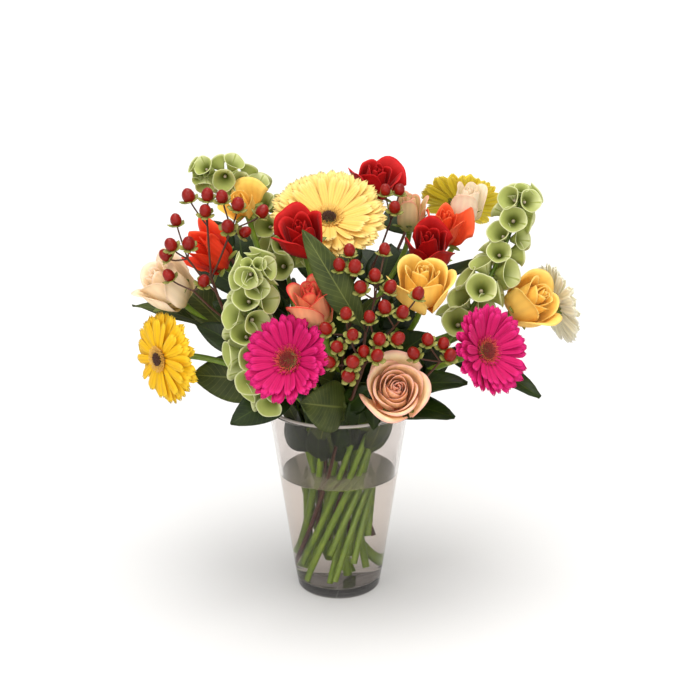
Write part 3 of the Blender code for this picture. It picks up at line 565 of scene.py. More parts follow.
def whorl_tree():
    """A ring of petals round the axis, each tipped up by the tilt."""
    tree, given, result = growth_tree("whorl", [
        ("Petal", "Object", None), ("Count", "Int", 20), ("Root Radius", "Float", 0.004),
        ("Root Height", "Float", 0.0), ("Tilt", "Float", 0.2), ("Tilt Jitter", "Float", 0.05),
        ("Turn", "Float", 0.0), ("Turn Jitter", "Float", 0.05), ("Roll Jitter", "Float", 0.1),
        ("Size", "Float", 1.0), ("Size Jitter", "Float", 0.05), ("Seed", "Int", 0),
        ("Material", "Material", None)])
    index = tree.nodes.new("GeometryNodeInputIndex").outputs[0]
    step = calc(tree, "DIVIDE", 2 * math.pi, given["Count"])
    jitter = random_between(tree, calc(tree, "MULTIPLY", given["Turn Jitter"], -1.0),
                            given["Turn Jitter"], given["Seed"])
    angle = calc(tree, "ADD", calc(tree, "ADD", calc(tree, "MULTIPLY", index, step), given["Turn"]),
                 jitter)
    across = calc(tree, "MULTIPLY", calc(tree, "COSINE", angle), given["Root Radius"])
    deep = calc(tree, "MULTIPLY", calc(tree, "SINE", angle), given["Root Radius"])
    place = put(tree, "ShaderNodeCombineXYZ", (across, deep, given["Root Height"])).outputs[0]
    points = put(tree, "GeometryNodePoints", {0: given["Count"], 1: place}).outputs[0]
    shape = put(tree, "GeometryNodeObjectInfo", {0: given["Petal"]}).outputs["Geometry"]
    lean = random_between(tree, calc(tree, "MULTIPLY", given["Tilt Jitter"], -1.0),
                          given["Tilt Jitter"], given["Seed"], 11.0)
    roll = random_between(tree, calc(tree, "MULTIPLY", given["Roll Jitter"], -1.0),
                          given["Roll Jitter"], given["Seed"], 23.0)
    turn = put(tree, "ShaderNodeCombineXYZ", (
        calc(tree, "ADD", given["Tilt"], lean), roll,
        calc(tree, "SUBTRACT", angle, math.pi / 2))).outputs[0]
    low = calc(tree, "MULTIPLY", given["Size"], calc(tree, "SUBTRACT", 1.0, given["Size Jitter"]))
    size = random_between(tree, low, given["Size"], given["Seed"], 37.0)
    spin = put(tree, "FunctionNodeEulerToRotation", {0: turn}).outputs[0]
    grown = put(tree, "GeometryNodeInstanceOnPoints",
                {0: points, 2: shape, 5: spin, 6: size}).outputs[0]
    tone = random_between(tree, 0.0, 1.0, given["Seed"], 51.0)
    finish_growth(tree, given, result, named(tree, grown, "tone", tone))
    return tree


def disc_tree():
    """Florets in the spiral of a daisy's eye, from the middle outwards."""
    tree, given, result = growth_tree("disc", [
        ("Floret", "Object", None), ("Count", "Int", 160), ("Radius", "Float", 0.01),
        ("First", "Float", 0.0), ("Height", "Float", 0.001), ("Dome", "Float", 0.002),
        ("Size Inside", "Float", 0.5), ("Size Outside", "Float", 1.0), ("Lean", "Float", 0.6),
        ("Seed", "Int", 0), ("Material", "Material", None)])
    index = tree.nodes.new("GeometryNodeInputIndex").outputs[0]
    share = calc(tree, "DIVIDE", calc(tree, "ADD", index, 0.5), given["Count"])
    share = put(tree, "ShaderNodeMapRange", {0: share, 3: given["First"], 4: 1.0}).outputs[0]
    out = calc(tree, "SQRT", share)
    angle = calc(tree, "MULTIPLY", index, 2.399963)
    radius = calc(tree, "MULTIPLY", out, given["Radius"])
    lift = calc(tree, "ADD", given["Height"],
                calc(tree, "MULTIPLY", given["Dome"], calc(tree, "SUBTRACT", 1.0, share)))
    place = put(tree, "ShaderNodeCombineXYZ", (
        calc(tree, "MULTIPLY", calc(tree, "COSINE", angle), radius),
        calc(tree, "MULTIPLY", calc(tree, "SINE", angle), radius), lift)).outputs[0]
    points = put(tree, "GeometryNodePoints", {0: given["Count"], 1: place}).outputs[0]
    shape = put(tree, "GeometryNodeObjectInfo", {0: given["Floret"]}).outputs["Geometry"]
    jitter = random_between(tree, -0.25, 0.25, given["Seed"])
    lean = calc(tree, "ADD", calc(tree, "MULTIPLY", calc(tree, "MULTIPLY", out, given["Lean"]), -1.0),
                jitter)
    turn = put(tree, "ShaderNodeCombineXYZ",
               (lean, jitter, calc(tree, "SUBTRACT", angle, math.pi / 2))).outputs[0]
    spin = put(tree, "FunctionNodeEulerToRotation", {0: turn}).outputs[0]
    size = put(tree, "ShaderNodeMapRange",
               {0: share, 3: given["Size Inside"], 4: given["Size Outside"]}).outputs[0]
    grown = put(tree, "GeometryNodeInstanceOnPoints",
                {0: points, 2: shape, 5: spin, 6: size}).outputs[0]
    finish_growth(tree, given, result, named(tree, grown, "tone", share))
    return tree


def placed_tree():
    """One piece on each point, its +Y along "aim", its +Z near "face", scaled by "size"."""
    tree, given, result = growth_tree("placed", [
        ("Piece", "Object", None), ("Seed", "Int", 0), ("Material", "Material", None)])
    shape = put(tree, "GeometryNodeObjectInfo", {0: given["Piece"]}).outputs["Geometry"]
    points = put(tree, "GeometryNodeMeshToPoints", {0: given["Geometry"]}).outputs[0]
    turn = put(tree, "FunctionNodeAxesToRotation", {
        0: read(tree, "aim", "FLOAT_VECTOR"), 1: read(tree, "face", "FLOAT_VECTOR")},
        primary_axis="Y", secondary_axis="Z").outputs[0]
    grown = put(tree, "GeometryNodeInstanceOnPoints", {
        0: points, 2: shape, 5: turn, 6: read(tree, "size", "FLOAT_VECTOR")}).outputs[0]
    tone = random_between(tree, 0.0, 1.0, given["Seed"])
    finish_growth(tree, given, result, named(tree, grown, "tone", tone), keep_old=False)
    return tree


def tube_tree():
    """A round tube along every line of the mesh, as thick as its "thick" attribute says."""
    tree, given, result = growth_tree("tube", [
        ("Sides", "Int", 12), ("Material", "Material", None)])
    line = put(tree, "GeometryNodeMeshToCurve", {0: given["Geometry"]}).outputs[0]
    share = tree.nodes.new("GeometryNodeSplineParameter").outputs[0]
    line = named(tree, line, "along", share, domain="POINT")
    ring = put(tree, "GeometryNodeCurvePrimitiveCircle", {0: given["Sides"], 4: 1.0}).outputs[0]
    skin = put(tree, "GeometryNodeCurveToMesh",
               {0: line, 1: ring, 2: read(tree, "thick"), 3: True}).outputs[0]
    finish_growth(tree, given, result, skin, keep_old=False)
    return tree


def spike_tree():
    """Open bells in whorls up a line, each whorl turned half a step from the last."""
    tree, given, result = growth_tree("spike", [
        ("Bell", "Object", None), ("Whorls", "Int", 6), ("Bells", "Int", 6), ("First", "Float", 0.4),
        ("Last", "Float", 0.98), ("Tilt", "Float", 0.6), ("Jitter", "Float", 0.2),
        ("Size Low", "Float", 1.0), ("Size High", "Float", 0.5), ("Stand Off", "Float", 0.003),
        ("Seed", "Int", 0), ("Material", "Material", None)])
    index = tree.nodes.new("GeometryNodeInputIndex").outputs[0]
    count = calc(tree, "MULTIPLY", given["Whorls"], given["Bells"])
    whorl = calc(tree, "FLOOR", calc(tree, "DIVIDE", calc(tree, "ADD", index, 0.5), given["Bells"]))
    spot = calc(tree, "SUBTRACT", index, calc(tree, "MULTIPLY", whorl, given["Bells"]))
    share = calc(tree, "DIVIDE", whorl, calc(tree, "SUBTRACT", given["Whorls"], 1.0))
    slip = random_between(tree, -0.012, 0.012, given["Seed"], 5.0)
    factor = calc(tree, "ADD", slip, put(tree, "ShaderNodeMapRange",
                                         {0: share, 3: given["First"], 4: given["Last"]}).outputs[0])
    line = put(tree, "GeometryNodeMeshToCurve", {0: given["Geometry"]}).outputs[0]
    cut = put(tree, "GeometryNodeSampleCurve", {0: line, 2: factor}, mode="FACTOR", use_all_curves=True)
    place, along = cut.outputs["Position"], cut.outputs["Tangent"]
    shift = random_between(tree, -0.18, 0.18, given["Seed"], 9.0)
    step = calc(tree, "ADD", calc(tree, "ADD", spot, calc(tree, "MULTIPLY", whorl, 0.5)), shift)
    angle = calc(tree, "MULTIPLY", calc(tree, "DIVIDE", step, given["Bells"]), 2 * math.pi)
    side = vec(tree, "NORMALIZE", vec(tree, "CROSS_PRODUCT", along, (0.31, 0.93, 0.2)))
    out = put(tree, "ShaderNodeVectorRotate", {0: side, 2: along, 3: angle},
              rotation_type="AXIS_ANGLE").outputs[0]
    tilt = calc(tree, "ADD", given["Tilt"],
                random_between(tree, calc(tree, "MULTIPLY", given["Jitter"], -1.0), given["Jitter"],
                               given["Seed"], 17.0))
    flat = put(tree, "ShaderNodeVectorMath", {0: out, 3: calc(tree, "COSINE", tilt)},
               operation="SCALE").outputs[0]
    rise = put(tree, "ShaderNodeVectorMath", {0: along, 3: calc(tree, "SINE", tilt)},
               operation="SCALE").outputs[0]
    aim = vec(tree, "ADD", flat, rise)
    spin = put(tree, "FunctionNodeAxesToRotation", {0: aim, 1: along}, primary_axis="Z",
               secondary_axis="Y").outputs[0]
    root = vec(tree, "ADD", place, put(tree, "ShaderNodeVectorMath", {0: out, 3: given["Stand Off"]},
                                       operation="SCALE").outputs[0])
    points = put(tree, "GeometryNodePoints", {0: count, 1: root}).outputs[0]
    size = put(tree, "ShaderNodeMapRange", {
        0: calc(tree, "POWER", share, 1.6), 3: given["Size Low"], 4: given["Size High"]}).outputs[0]
    size = calc(tree, "MULTIPLY", size, random_between(tree, 0.86, 1.08, given["Seed"], 29.0))
    shape = put(tree, "GeometryNodeObjectInfo", {0: given["Bell"]}).outputs["Geometry"]
    grown = put(tree, "GeometryNodeInstanceOnPoints",
                {0: points, 2: shape, 5: spin, 6: size}).outputs[0]
    tone = random_between(tree, 0.0, 1.0, given["Seed"], 41.0)
    finish_growth(tree, given, result, named(tree, grown, "tone", tone), keep_old=False)
    return tree


TREES = {"whorl": whorl_tree(), "disc": disc_tree(), "placed": placed_tree(), "tube": tube_tree(),
         "spike": spike_tree()}


def grow(name, steps, start=None):
    """Runs the trees one after another on the start mesh and keeps the result as plain mesh.

    steps: (tree's name, {input name: value}).
    """
    base = start or bpy.data.meshes.new(name + "_start")
    seedling = bpy.data.objects.new(name + "_seedling", base)
    bpy.context.scene.collection.objects.link(seedling)
    for tree_name, values in steps:
        tree = TREES[tree_name]
        modifier = seedling.modifiers.new(tree_name, "NODES")
        modifier.node_group = tree
        keys = {item.name: item.identifier for item in tree.interface.items_tree if item.in_out == "INPUT"}
        for label, value in values.items():
            modifier[keys[label]] = value
    graph = bpy.context.evaluated_depsgraph_get()
    mesh = bpy.data.meshes.new_from_object(seedling.evaluated_get(graph))
    bpy.data.objects.remove(seedling, do_unlink=True)
    mesh.name = name
    grown = bpy.data.objects.new(name, mesh)
    bpy.context.scene.collection.objects.link(grown)
    return grown


def stand(thing, place, along=None, roll=0.0):
    """Moves the piece's own mesh: its origin to `place` and its +Z to `along`."""
    turn = Matrix.Identity(4)
    if along is not None:
        turn = Vector((0, 0, 1)).rotation_difference(along).to_matrix().to_4x4()
    thing.data.transform(Matrix.Translation(place) @ turn @ Matrix.Rotation(roll, 4, "Z"))
    return thing


def as_piece(thing, slot_name=None, *nodes):
    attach(thing, "root")
    if nodes:
        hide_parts(*nodes)
    return thing


# ---------------------------------------------------------------- mesh shapes
Shell = namedtuple("Shell", "points faces along across tone")


def sheet(front, thickness, tone=0.5, along=None, across=None):
    """A closed thin solid from a grid of points, rows along it and columns across it."""
    rows, cols = front.shape[:2]
    over = np.gradient(front, axis=1)
    up = np.gradient(front, axis=0)
    normal = np.cross(over, up)
    normal /= np.linalg.norm(normal, axis=2, keepdims=True) + 1e-12
    back = front - normal * thickness
    points = np.concatenate([front.reshape(-1, 3), back.reshape(-1, 3)])
    spot = np.arange(rows * cols).reshape(rows, cols)
    low, right, far, left = spot[:-1, :-1].ravel(), spot[:-1,
                                                         1:].ravel(), spot[1:, 1:].ravel(), spot[1:, :-1].ravel()
    size = rows * cols
    faces = np.concatenate([np.stack([low, right, far, left], 1),
                            np.stack([left, far, right, low], 1) + size])
    edge = np.concatenate([spot[0, :-1], spot[:-1, -1], spot[-1, :0:-1], spot[:0:-1, 0]])
    after = np.roll(edge, -1)
    faces = np.concatenate([faces, np.stack([edge, edge + size, after + size, after], 1)])
    if along is None:
        along = np.repeat(np.linspace(0, 1, rows), cols)
    if across is None:
        across = np.tile(np.linspace(-1, 1, cols), rows)
    return Shell(points, faces.tolist(), np.tile(along, 2), np.tile(across, 2), np.full(size * 2, tone))


def lathe(profile, sides, wave=None, tone=0.5):
    """A closed solid turned from (radius, height) pairs, the first and last on the axis."""
    heights = np.array(profile)
    angle = 2 * np.pi * np.arange(sides) / sides
    rings = []
    for number, (radius, height) in enumerate(profile[1:-1]):
        grow_by, lift = wave(number, angle) if wave else (1.0, 0.0)
        spoke = radius * grow_by
        rings.append(np.stack([spoke * np.cos(angle), spoke * np.sin(angle), height + lift + 0 * angle],
                              1))
    points = np.concatenate([[(0, 0, heights[0, 1])]] + rings + [[(0, 0, heights[-1, 1])]])
    faces, last = [], len(points) - 1
    for side in range(sides):
        after = (side + 1) % sides
        faces.append((0, 1 + after, 1 + side))
        for ring in range(len(rings) - 1):
            low, high = 1 + ring * sides, 1 + (ring + 1) * sides
            faces.append((low + side, low + after, high + after, high + side))
        top = 1 + (len(rings) - 1) * sides
        faces.append((top + side, top + after, last))
    run = np.linspace(0, 1, len(profile))
    along = np.concatenate([[0.0], np.repeat(run[1:-1], sides), [1.0]])
    across = np.concatenate([[0.0], np.tile(angle / np.pi - 1, len(rings)), [0.0]])
    return Shell(points, faces, along, across, np.full(last + 1, tone))


def loop_solid(rings):
    """A closed ring-shaped solid from circles of points, the last joined to the first."""
    points = np.array(rings)
    count, sides = points.shape[:2]
    spot = np.arange(count * sides).reshape(count, sides)
    ahead, around = np.roll(spot, -1, axis=0), np.roll(spot, -1, axis=1)
    both = np.roll(ahead, -1, axis=1)
    faces = np.stack([spot, around, both, ahead], 2).reshape(-1, 4)
    flat = np.zeros(count * sides)
    return Shell(points.reshape(-1, 3), faces.tolist(), flat, flat, flat)


def joined(shells):
    faces, start = [], 0
    for shell in shells:
        faces += [tuple(start + corner for corner in face) for face in shell.faces]
        start += len(shell.points)
    parts = [np.concatenate([getattr(s, key) for s in shells]) for key in ("points", "along", "across", "tone")]
    return Shell(parts[0], faces, *parts[1:])


def make(name, shell, finish=None):
    """An object from a shell, smooth, with its along, across and tone kept for the finish."""
    mesh = bpy.data.meshes.new(name)
    mesh.from_pydata([tuple(p) for p in shell.points], [], shell.faces)
    for key in ("along", "across", "tone"):
        mesh.attributes.new(key, "FLOAT",
                            "POINT").data.foreach_set("value", getattr(shell, key).astype(np.float32))
    mesh.shade_smooth()
    if finish:
        mesh.materials.append(finish)
    thing = bpy.data.objects.new(name, mesh)
    bpy.context.scene.collection.objects.link(thing)
    return thing


SEEDS = []


def seed_piece(name, shell):
    """A shape that the trees repeat; removed before the end."""
    thing = make(name, shell)
    SEEDS.append(thing)
    return thing


def points_mesh(name, places, **attributes):
    mesh = bpy.data.meshes.new(name)
    mesh.from_pydata([tuple(p) for p in places], [], [])
    for key, values in attributes.items():
        data = np.array(values, np.float32)
        kind, field = ("FLOAT_VECTOR", "vector") if data.ndim == 2 else ("FLOAT", "value")
        mesh.attributes.new(key, kind, "POINT").data.foreach_set(field, data.ravel())
    return mesh


def lines_mesh(name, lines):
    """Lines of (points, thicknesses) as one mesh of edges."""
    points, edges, thick = [], [], []
    for way, sizes in lines:
        start = len(points)
        points += [tuple(p) for p in way]
        edges += [(start + i, start + i + 1) for i in range(len(way) - 1)]
        thick += list(np.broadcast_to(sizes, len(way)))
    mesh = bpy.data.meshes.new(name)
    mesh.from_pydata(points, edges, [])
    mesh.attributes.new("thick", "FLOAT",
                        "POINT").data.foreach_set("value", np.array(thick, np.float32))
    return mesh


# ---------------------------------------------------------------- finishes
def petal_group():
    """Petal colour from throat to rim, with fine veins along it and a mottled tone. Where a finish asks for it,
    the throat colour is painted shade deep in a bloom and the rim colour a painted highlight on petal edges.
    """
    tree, given, result = new_group("petal_surface", "ShaderNodeTree", [
        ("Along", "Float", 0.5), ("Across", "Float", 0.0), ("Tone", "Float", 0.5),
        ("Throat", "Color", (1, 1, 1, 1)), ("Body", "Color", (1, 1, 1, 1)),
        ("Outer", "Color", (1, 1, 1, 1)),
        ("Rim", "Color", (1, 1, 1, 1)),
        ("Throat Reach", "Float", 0.3), ("Rim Reach", "Float", 0.3), ("Veins", "Float", 9.0),
        ("Vein Depth", "Float", 0.2), ("Tone Spread", "Float", 0.15)],
        [("Color", "Color"), ("Height", "Float")])
    # the throat colour towards each petal's base; for the roses and the bells it carries painted shade
    throat = put(tree, "ShaderNodeMapRange",
                 {0: given["Along"], 1: 0.0, 2: given["Throat Reach"], 3: 1.0, 4: 0.0},
                 interpolation_type="SMOOTHSTEP").outputs[0]
    # the rim colour along the tip and upper side edges; for the yellow, red and orange roses it is a painted
    # highlight
    side = calc(tree, "POWER", calc(tree, "ABSOLUTE", given["Across"]), 4.0)
    inner = calc(tree, "SUBTRACT", 1.0, given["Rim Reach"])
    tip = put(tree, "ShaderNodeMapRange", {0: given["Along"], 1: inner, 2: 1.0},
              interpolation_type="SMOOTHSTEP").outputs[0]
    upper = put(tree, "ShaderNodeMapRange", {0: given["Along"], 1: 0.35, 2: 0.9}).outputs[0]
    rim = calc(tree, "MAXIMUM", tip, calc(tree, "MULTIPLY", side, upper))
    ripple = calc(tree, "SINE", calc(tree, "MULTIPLY", given["Across"], given["Veins"]))
    coords = tree.nodes.new("ShaderNodeTexCoord").outputs["Object"]
    noise = put(tree, "ShaderNodeTexNoise",
                {"Vector": coords, "Scale": 420.0, "Detail": 3.0}).outputs["Fac"]
    ripple = calc(tree, "MULTIPLY", ripple, calc(tree, "ADD", 0.4, noise))
    shade = calc(tree, "MULTIPLY", ripple, given["Vein Depth"])
    mottle = calc(tree, "MULTIPLY", calc(tree, "SUBTRACT", given["Tone"], 0.5), given["Tone Spread"])
    value = calc(tree, "ADD", calc(tree, "ADD", 1.0, mottle), calc(tree, "MULTIPLY", shade, 0.35))
    body = put(tree, "ShaderNodeMix", {0: given["Tone"], 6: given["Body"], 7: given["Outer"]},
               data_type="RGBA").outputs[2]
    color = put(tree, "ShaderNodeMix", {0: throat, 6: body, 7: given["Throat"]},
                data_type="RGBA").outputs[2]
    color = put(tree, "ShaderNodeMix", {0: rim, 6: color, 7: given["Rim"]}, data_type="RGBA").outputs[2]
    color = put(tree, "ShaderNodeHueSaturation", {"Color": color, "Value": value}).outputs[0]
    tree.links.new(color, result["Color"])
    tree.links.new(ripple, result["Height"])
    return tree


def leaf_group():
    """Leaf colour with a paler midrib, side veins and blotches."""
    tree, given, result = new_group("leaf_surface", "ShaderNodeTree", [
        ("Along", "Float", 0.5), ("Across", "Float", 0.0), ("Tone", "Float", 0.5),
        ("Blade", "Color", (0, 0.1, 0, 1)), ("Other", "Color", (0, 0.1, 0, 1)),
        ("Vein", "Color", (0.2, 0.3, 0.1, 1)),
        ("Side Veins", "Float", 16.0), ("Vein Width", "Float", 0.06)],
        [("Color", "Color"), ("Height", "Float")])
    off = calc(tree, "ABSOLUTE", given["Across"])
    midrib = put(tree, "ShaderNodeMapRange", {0: off, 1: given["Vein Width"], 2: 0.0}).outputs[0]
    slant = calc(tree, "SUBTRACT", calc(tree, "MULTIPLY", given["Along"], given["Side Veins"]),
                 calc(tree, "MULTIPLY", off, 2.6))
    saw = calc(tree, "ABSOLUTE", calc(tree, "SUBTRACT", calc(tree, "FRACT", slant), 0.5))
    side = put(tree, "ShaderNodeMapRange", {0: saw, 1: 0.09, 2: 0.0}).outputs[0]
    vein = calc(tree, "MAXIMUM", midrib, calc(tree, "MULTIPLY", side, 0.45))
    coords = tree.nodes.new("ShaderNodeTexCoord").outputs["Object"]
    noise = put(tree, "ShaderNodeTexNoise",
                {"Vector": coords, "Scale": 60.0, "Detail": 4.0}).outputs["Fac"]
    blotch = calc(tree, "ADD", calc(tree, "MULTIPLY", given["Tone"], 0.7),
                  calc(tree, "MULTIPLY", calc(tree, "SUBTRACT", noise, 0.5), 1.4))
    blotch = put(tree, "ShaderNodeMapRange", {0: blotch, 1: 0.1, 2: 0.9}).outputs[0]
    color = put(tree, "ShaderNodeMix", {0: blotch, 6: given["Blade"], 7: given["Other"]},
                data_type="RGBA").outputs[2]
    color = put(tree, "ShaderNodeMix", {0: vein, 6: color, 7: given["Vein"]},
                data_type="RGBA").outputs[2]
    tree.links.new(color, result["Color"])
    tree.links.new(calc(tree, "SUBTRACT", 1.0, vein), result["Height"])
    return tree


def speckle_group():
    """Two tones mixed by noise, for stems, twigs, berries and florets."""
    tree, given, result = new_group("speckle", "ShaderNodeTree", [
        ("Tone", "Float", 0.5), ("First", "Color", (1, 1, 1, 1)), ("Second", "Color", (1, 1, 1, 1)),
        ("Scale", "Float", 150.0), ("Tone Share", "Float", 0.6)],
        [("Color", "Color"), ("Height", "Float")])
    coords = tree.nodes.new("ShaderNodeTexCoord").outputs["Object"]
    noise = put(tree, "ShaderNodeTexNoise",
                {"Vector": coords, "Scale": given["Scale"], "Detail": 4.0}).outputs["Fac"]
    blend = calc(tree, "ADD", calc(tree, "MULTIPLY", given["Tone"], given["Tone Share"]),
                 calc(tree, "MULTIPLY", calc(tree, "SUBTRACT", noise, 0.3), 0.9))
    blend = put(tree, "ShaderNodeClamp", {0: blend}).outputs[0]
    color = put(tree, "ShaderNodeMix", {0: blend, 6: given["First"], 7: given["Second"]},
                data_type="RGBA").outputs[2]
    tree.links.new(color, result["Color"])
    tree.links.new(noise, result["Height"])
    return tree


GROUPS = {"petal": petal_group(), "leaf": leaf_group(), "speckle": speckle_group()}


def surface(name, group, values, roughness=0.5, glow=0.25, bump=0.1, coat=0.0, sheen=0.0, shine=0.5,
            depth=0.0004):
    """A finish from one of the groups; `glow` is how much light comes through it."""
    finish = bpy.data.materials.new(name)
    finish.use_nodes = True
    tree = finish.node_tree
    shader = tree.nodes["Principled BSDF"]
    look = put(tree, "ShaderNodeGroup", node_tree=GROUPS[group])
    for label in ("Along", "Across", "Tone"):
        if label in look.inputs:
            attribute = put(tree, "ShaderNodeAttribute", attribute_name=label.lower())
            tree.links.new(attribute.outputs["Fac"], look.inputs[label])
    for label, value in values.items():
        look.inputs[label].default_value = value
    raised = put(tree, "ShaderNodeBump", {"Strength": bump, "Distance": depth,
                                          "Height": look.outputs["Height"]})
    tree.links.new(look.outputs["Color"], shader.inputs["Base Color"])
    tree.links.new(raised.outputs["Normal"], shader.inputs["Normal"])
    shader.inputs["Roughness"].default_value = roughness
    shader.inputs["Coat Weight"].default_value = coat
    shader.inputs["Coat Roughness"].default_value = 0.25
    shader.inputs["Sheen Weight"].default_value = sheen
    shader.inputs["Specular IOR Level"].default_value = shine
    if glow > 0:
        through = put(tree, "ShaderNodeBsdfTranslucent", {"Color": look.outputs["Color"]})
        mix = put(tree, "ShaderNodeMixShader", {0: glow, 1: shader.outputs[0], 2: through.outputs[0]})
        tree.links.new(mix.outputs[0], tree.nodes["Material Output"].inputs["Surface"])
    return finish


def clear(name, tint, bend, roughness=0.0, mirror=0.45, shade=0.9):
    """Clear glass or water; `shade` is the share of a lamp's light that each face lets by."""
    finish = bpy.data.materials.new(name)
    finish.use_nodes = True
    tree = finish.node_tree
    shader = tree.nodes["Principled BSDF"]
    shader.inputs["Base Color"].default_value = tint
    shader.inputs["Roughness"].default_value = roughness
    shader.inputs["IOR"].default_value = bend
    shader.inputs["Specular Tint"].default_value = (mirror, mirror, mirror, 1.0)
    shader.inputs["Transmission Weight"].default_value = 1.0
    light = tree.nodes.new("ShaderNodeLightPath")
    open_way = put(tree, "ShaderNodeBsdfTransparent", {"Color": (shade, shade, shade, 1.0)})
    mix = put(tree, "ShaderNodeMixShader",
              {0: light.outputs["Is Shadow Ray"], 1: shader.outputs[0], 2: open_way.outputs[0]})
    tree.links.new(mix.outputs[0], tree.nodes["Material Output"].inputs["Surface"])
    return finish
# ---------------------------------------------------------------- petals and small parts
def ray_petal(length, width, bend=0.0, arch=0.16, groove=0.05, tip="round", rows=11, cols=7,
              thickness=0.0004):
    """A daisy's petal from the origin along +Y, its face to +Z."""
    t = np.linspace(0, 1, rows)[:, None]
    s = np.linspace(-1, 1, cols)[None, :]
    broad = 0.42 + 0.58 * np.sin(np.clip(t / 0.72, 0, 1) * np.pi / 2)
    end = {"round": 0.80, "square": 0.90, "point": 0.62}[tip]
    close = np.sqrt(np.clip(1 - (np.clip(t - end, 0, 1) / (1 - end)) ** 2, 0.02, 1))
    half = width / 2 * broad * close
    x = half * s
    notch = 0.035 * np.cos(s * np.pi * 2.0) * np.clip((t - 0.7) / 0.3, 0, 1) if tip != "point" else 0.0
    y = length * (t + notch) + 0 * s
    z = length * bend * t**2 - width * arch * s**2 * (1 - 0.4 * t) + width * groove * np.cos(s * np.pi * 2.0) * (1 - 0.5 * t)
    return sheet(np.stack([x + 0 * t, y, z + 0 * s], 2), thickness)


def bract(length, width, bend=0.0):
    """A small pointed green leaf, as on a flower's back."""
    return ray_petal(length, width, bend, arch=0.25, groove=0.0, tip="point", rows=7, cols=5,
                     thickness=0.0005)


def floret(height, wide):
    """One of the small florets in a daisy's eye."""
    return lathe([(0, -0.0005), (wide * 0.6, 0), (wide, height * 0.5), (wide * 0.8, height * 0.8),
                  (0, height)], 6)


GerberaLook = namedtuple("GerberaLook", "colour count petal_width bend tip whorls eye_share fuzz throat body rim centre")
# whorls: (share of the petal's length, more tilt, share of the count)
FULL = ((1.00, 0.00, 1.0), (0.97, 0.09, 1.0), (0.84, 0.20, 0.8))
DOUBLE = ((1.00, 0.00, 1.0), (0.98, 0.07, 1.0), (0.93, 0.15, 0.9), (0.76, 0.26, 0.8))
GERBERA_LOOKS = {
    "gerbera_cream": GerberaLook("cream", 30, 0.0125, 0.05, "round", DOUBLE, 0.18, 0.30,
                                 lin(236, 172, 72), lin(251, 216, 116), lin(253, 228, 146), "brown"),
    "gerbera_pink_left": GerberaLook("pink", 28, 0.0088, 0.04, "round", FULL, 0.24, 0.36,
                                     lin(166, 6, 46), lin(206, 10, 98), lin(228, 36, 128), "rosy"),
    "gerbera_pink_right": GerberaLook("pink", 28, 0.0090, 0.04, "round", FULL, 0.24, 0.36,
                                      lin(166, 6, 46), lin(206, 10, 98), lin(228, 36, 128), "rosy"),
    "gerbera_yellow": GerberaLook("yellow", 19, 0.0125, -0.20, "round", FULL, 0.20, 0.22,
                                  lin(226, 150, 6), lin(246, 198, 22), lin(252, 216, 56), "brown"),
    "gerbera_white": GerberaLook("white", 22, 0.0110, 0.10, "square", FULL, 0.22, 0.30,
                                 lin(222, 212, 156), lin(250, 244, 216), lin(253, 250, 234), "brown"),
    "gerbera_lime": GerberaLook("lime", 24, 0.0110, 0.06, "round", FULL, 0.22, 0.30,
                                lin(214, 204, 44), lin(240, 220, 52), lin(248, 230, 90), "brown"),
}


def petal_finish(name, throat, body, outer, rim, reach=0.3, rim_reach=0.25, depth=0.2, veins=9.0,
                 spread=0.16, glow=0.28):
    return surface(name, "petal", {
        "Throat": throat, "Body": body, "Outer": outer, "Rim": rim, "Throat Reach": reach,
        "Rim Reach": rim_reach,
        "Vein Depth": depth, "Veins": veins, "Tone Spread": spread}, roughness=0.6, glow=glow, bump=0.3,
        sheen=0.04, shine=0.22)


STEM_FINISH = surface("stem_green", "speckle", {
    "First": lin(92, 122, 20), "Second": lin(152, 172, 54), "Scale": 90.0}, roughness=0.45, glow=0.0,
    bump=0.1)
TWIG_FINISH = surface("twig_brown", "speckle", {
    "First": lin(70, 30, 20), "Second": lin(104, 72, 36), "Scale": 140.0}, roughness=0.55, glow=0.0)
BRACT_FINISH = surface("bract_green", "leaf", {
    "Blade": lin(96, 116, 36), "Other": lin(146, 156, 70), "Vein": lin(164, 172, 100)}, roughness=0.5,
    glow=0.15)
EYES = {
    "brown": (surface("eye_dark", "speckle",
                      {"First": lin(38, 16, 12), "Second": lin(96, 54, 30), "Scale": 300.0}, glow=0.0),
              surface("eye_fuzz_yellow", "speckle",
                      {"First": lin(226, 170, 70), "Second": lin(250, 214, 120)}, glow=0.2)),
    "rosy": (surface("eye_red", "speckle",
                     {"First": lin(58, 10, 18), "Second": lin(170, 44, 40), "Scale": 300.0}, glow=0.0),
             surface("eye_fuzz_red", "speckle",
                     {"First": lin(196, 32, 62), "Second": lin(244, 122, 92)}, glow=0.2)),
}
BRACT_SEED = seed_piece("bract_seed", bract(0.012, 0.0036, 0.15))
FLORET_SEED = seed_piece("floret_seed", floret(0.0026, 0.0006))
FUZZ_SEED = seed_piece("fuzz_seed", floret(0.0052, 0.00045))
TRANS_SEED = seed_piece("trans_seed", ray_petal(0.010, 0.0022, 0.10, tip="point", rows=6, cols=4))


